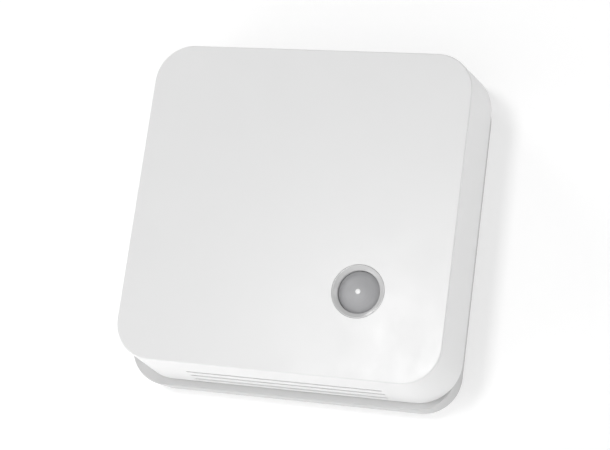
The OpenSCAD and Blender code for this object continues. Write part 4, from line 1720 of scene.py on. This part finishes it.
def make_finishes() -> dict[str, bpy.types.Material]:
    """Makes every material of the object.

    Returns:
        The materials by slot name.
    """
    lens = Span.of("pir_lens")
    band = 17 * MM
    finishes = [
        Plastic("cover_plastic", (0.80, 0.80, 0.80), roughness=0.33, bump=0.12, variation=0.012, dust=0.0),
        # Painted shade: the wall plate is the cover's white plastic, darkened to 0.55 to carry the shade on the ledge
        # strip under the cover.
        Plastic("plate_plastic", (0.55, 0.55, 0.55), roughness=0.45, bump=0.15, variation=0.02, dust=0.0),
        # Painted shade: the bezel ring is darkened to 0.60 from the cover's white to stand for the shade in the recess
        # round the lens.
        Plastic("bezel_plastic", (0.60, 0.60, 0.60), roughness=0.2, bump=0.05, variation=0.02, dust=0.0),
        Plastic("gasket_foam", (0.035, 0.035, 0.037), roughness=0.85, grain=1400, bump=0.9, variation=0.3, dust=0.0),
        # Painted highlight: the pip's near-white colour stands for the bright spot at the lens centre.
        Plastic("pip_plastic", (0.9, 0.9, 0.9), roughness=0.35, bump=0.05, dust=0.0),
        Plastic("black_plastic", (0.022, 0.022, 0.024), roughness=0.42, bump=0.35, variation=0.15, dust=0.1),
        Plastic("filter_glass", (0.035, 0.03, 0.06), roughness=0.12, bump=0.02, variation=0.1, coat=0.6, dust=0.0),
        Plastic("membrane", (0.88, 0.88, 0.86), roughness=0.75, grain=3500, bump=0.6, variation=0.05, dust=0.0),
        Plastic("chip_black", (0.03, 0.03, 0.032), roughness=0.5, grain=3200, bump=0.5, variation=0.12, dust=0.05),
        Plastic("chip_ceramic", (0.30, 0.22, 0.15), roughness=0.4, grain=3000, bump=0.2, variation=0.35, dust=0.05),
        Plastic("led_resin", (0.86, 0.78, 0.5), roughness=0.2, bump=0.05, coat=0.4, dust=0.0),
        Plastic("sleeve_plastic", (0.03, 0.045, 0.14), roughness=0.22, grain=500, bump=0.2, variation=0.12, coat=0.3),
        Plastic("button_plastic", (0.55, 0.06, 0.04), roughness=0.35, bump=0.2, variation=0.05),
        Metal("can_metal", (0.74, 0.73, 0.70), 0.26),
        Metal("screw_steel", (0.62, 0.61, 0.60), 0.28, (1.0, 1.0, 6.0)),
        Metal("shield_metal", (0.76, 0.76, 0.74), 0.3, (9.0, 1.0, 1.0)),
        Metal("solder_tin", (0.72, 0.72, 0.70), 0.34, (1.0, 1.0, 1.0), 0.4),
        Metal("trace_copper", (0.86, 0.52, 0.30), 0.3),
        Metal("cap_steel", (0.68, 0.68, 0.67), 0.24, (1.0, 6.0, 1.0)),
        Metal("contact_nickel", (0.74, 0.72, 0.68), 0.22, (1.0, 1.0, 7.0)),
        Metal("pin_gold", (0.92, 0.70, 0.30), 0.2),
        BoardMask("board_green", (0.012, 0.115, 0.05), (0.05, 0.24, 0.11)),
        BoardMask("board_blue", (0.01, 0.05, 0.16), (0.03, 0.12, 0.30)),
        LensPlastic("lens_plastic", (0.42, 0.42, 0.43), tuple(lens.middle)),
        CellWrap("cell_wrap_right", (0.03, 0.10, 0.26), (0.62, 0.60, 0.55), Span.of("battery_upper").high.x - band, 1.0),
        CellWrap("cell_wrap_left", (0.03, 0.10, 0.26), (0.62, 0.60, 0.55), -Span.of("battery_lower").low.x - band, -1.0),
    ]
    return {finish.name: finish.build() for finish in finishes}


def corners(box: tuple[Vector, Vector]) -> list[list[float]]:
    """Returns a box as plain lists of numbers."""
    return [[float(value) for value in corner] for corner in box]


def main() -> None:
    """Builds the whole model round the frame."""
    logging.basicConfig(level=logging.INFO, format="%(name)s: %(message)s")
    cad_box = corners(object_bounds())
    Studio().build()
    finishes = make_finishes()
    cover = CoverShell()
    cover.build(finishes["cover_plastic"])
    WallPlate().build(finishes["plate_plastic"])
    LensStack().build(finishes)
    CircuitBoard().build(finishes, cover.boss_places())
    PowerBay().build(finishes)
    WiringSide().build(finishes)
    {"cad": cad_box, "visual": corners(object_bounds())}


if __name__ == "__main__":
    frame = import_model()
    FRAME.update(frame)
    main()
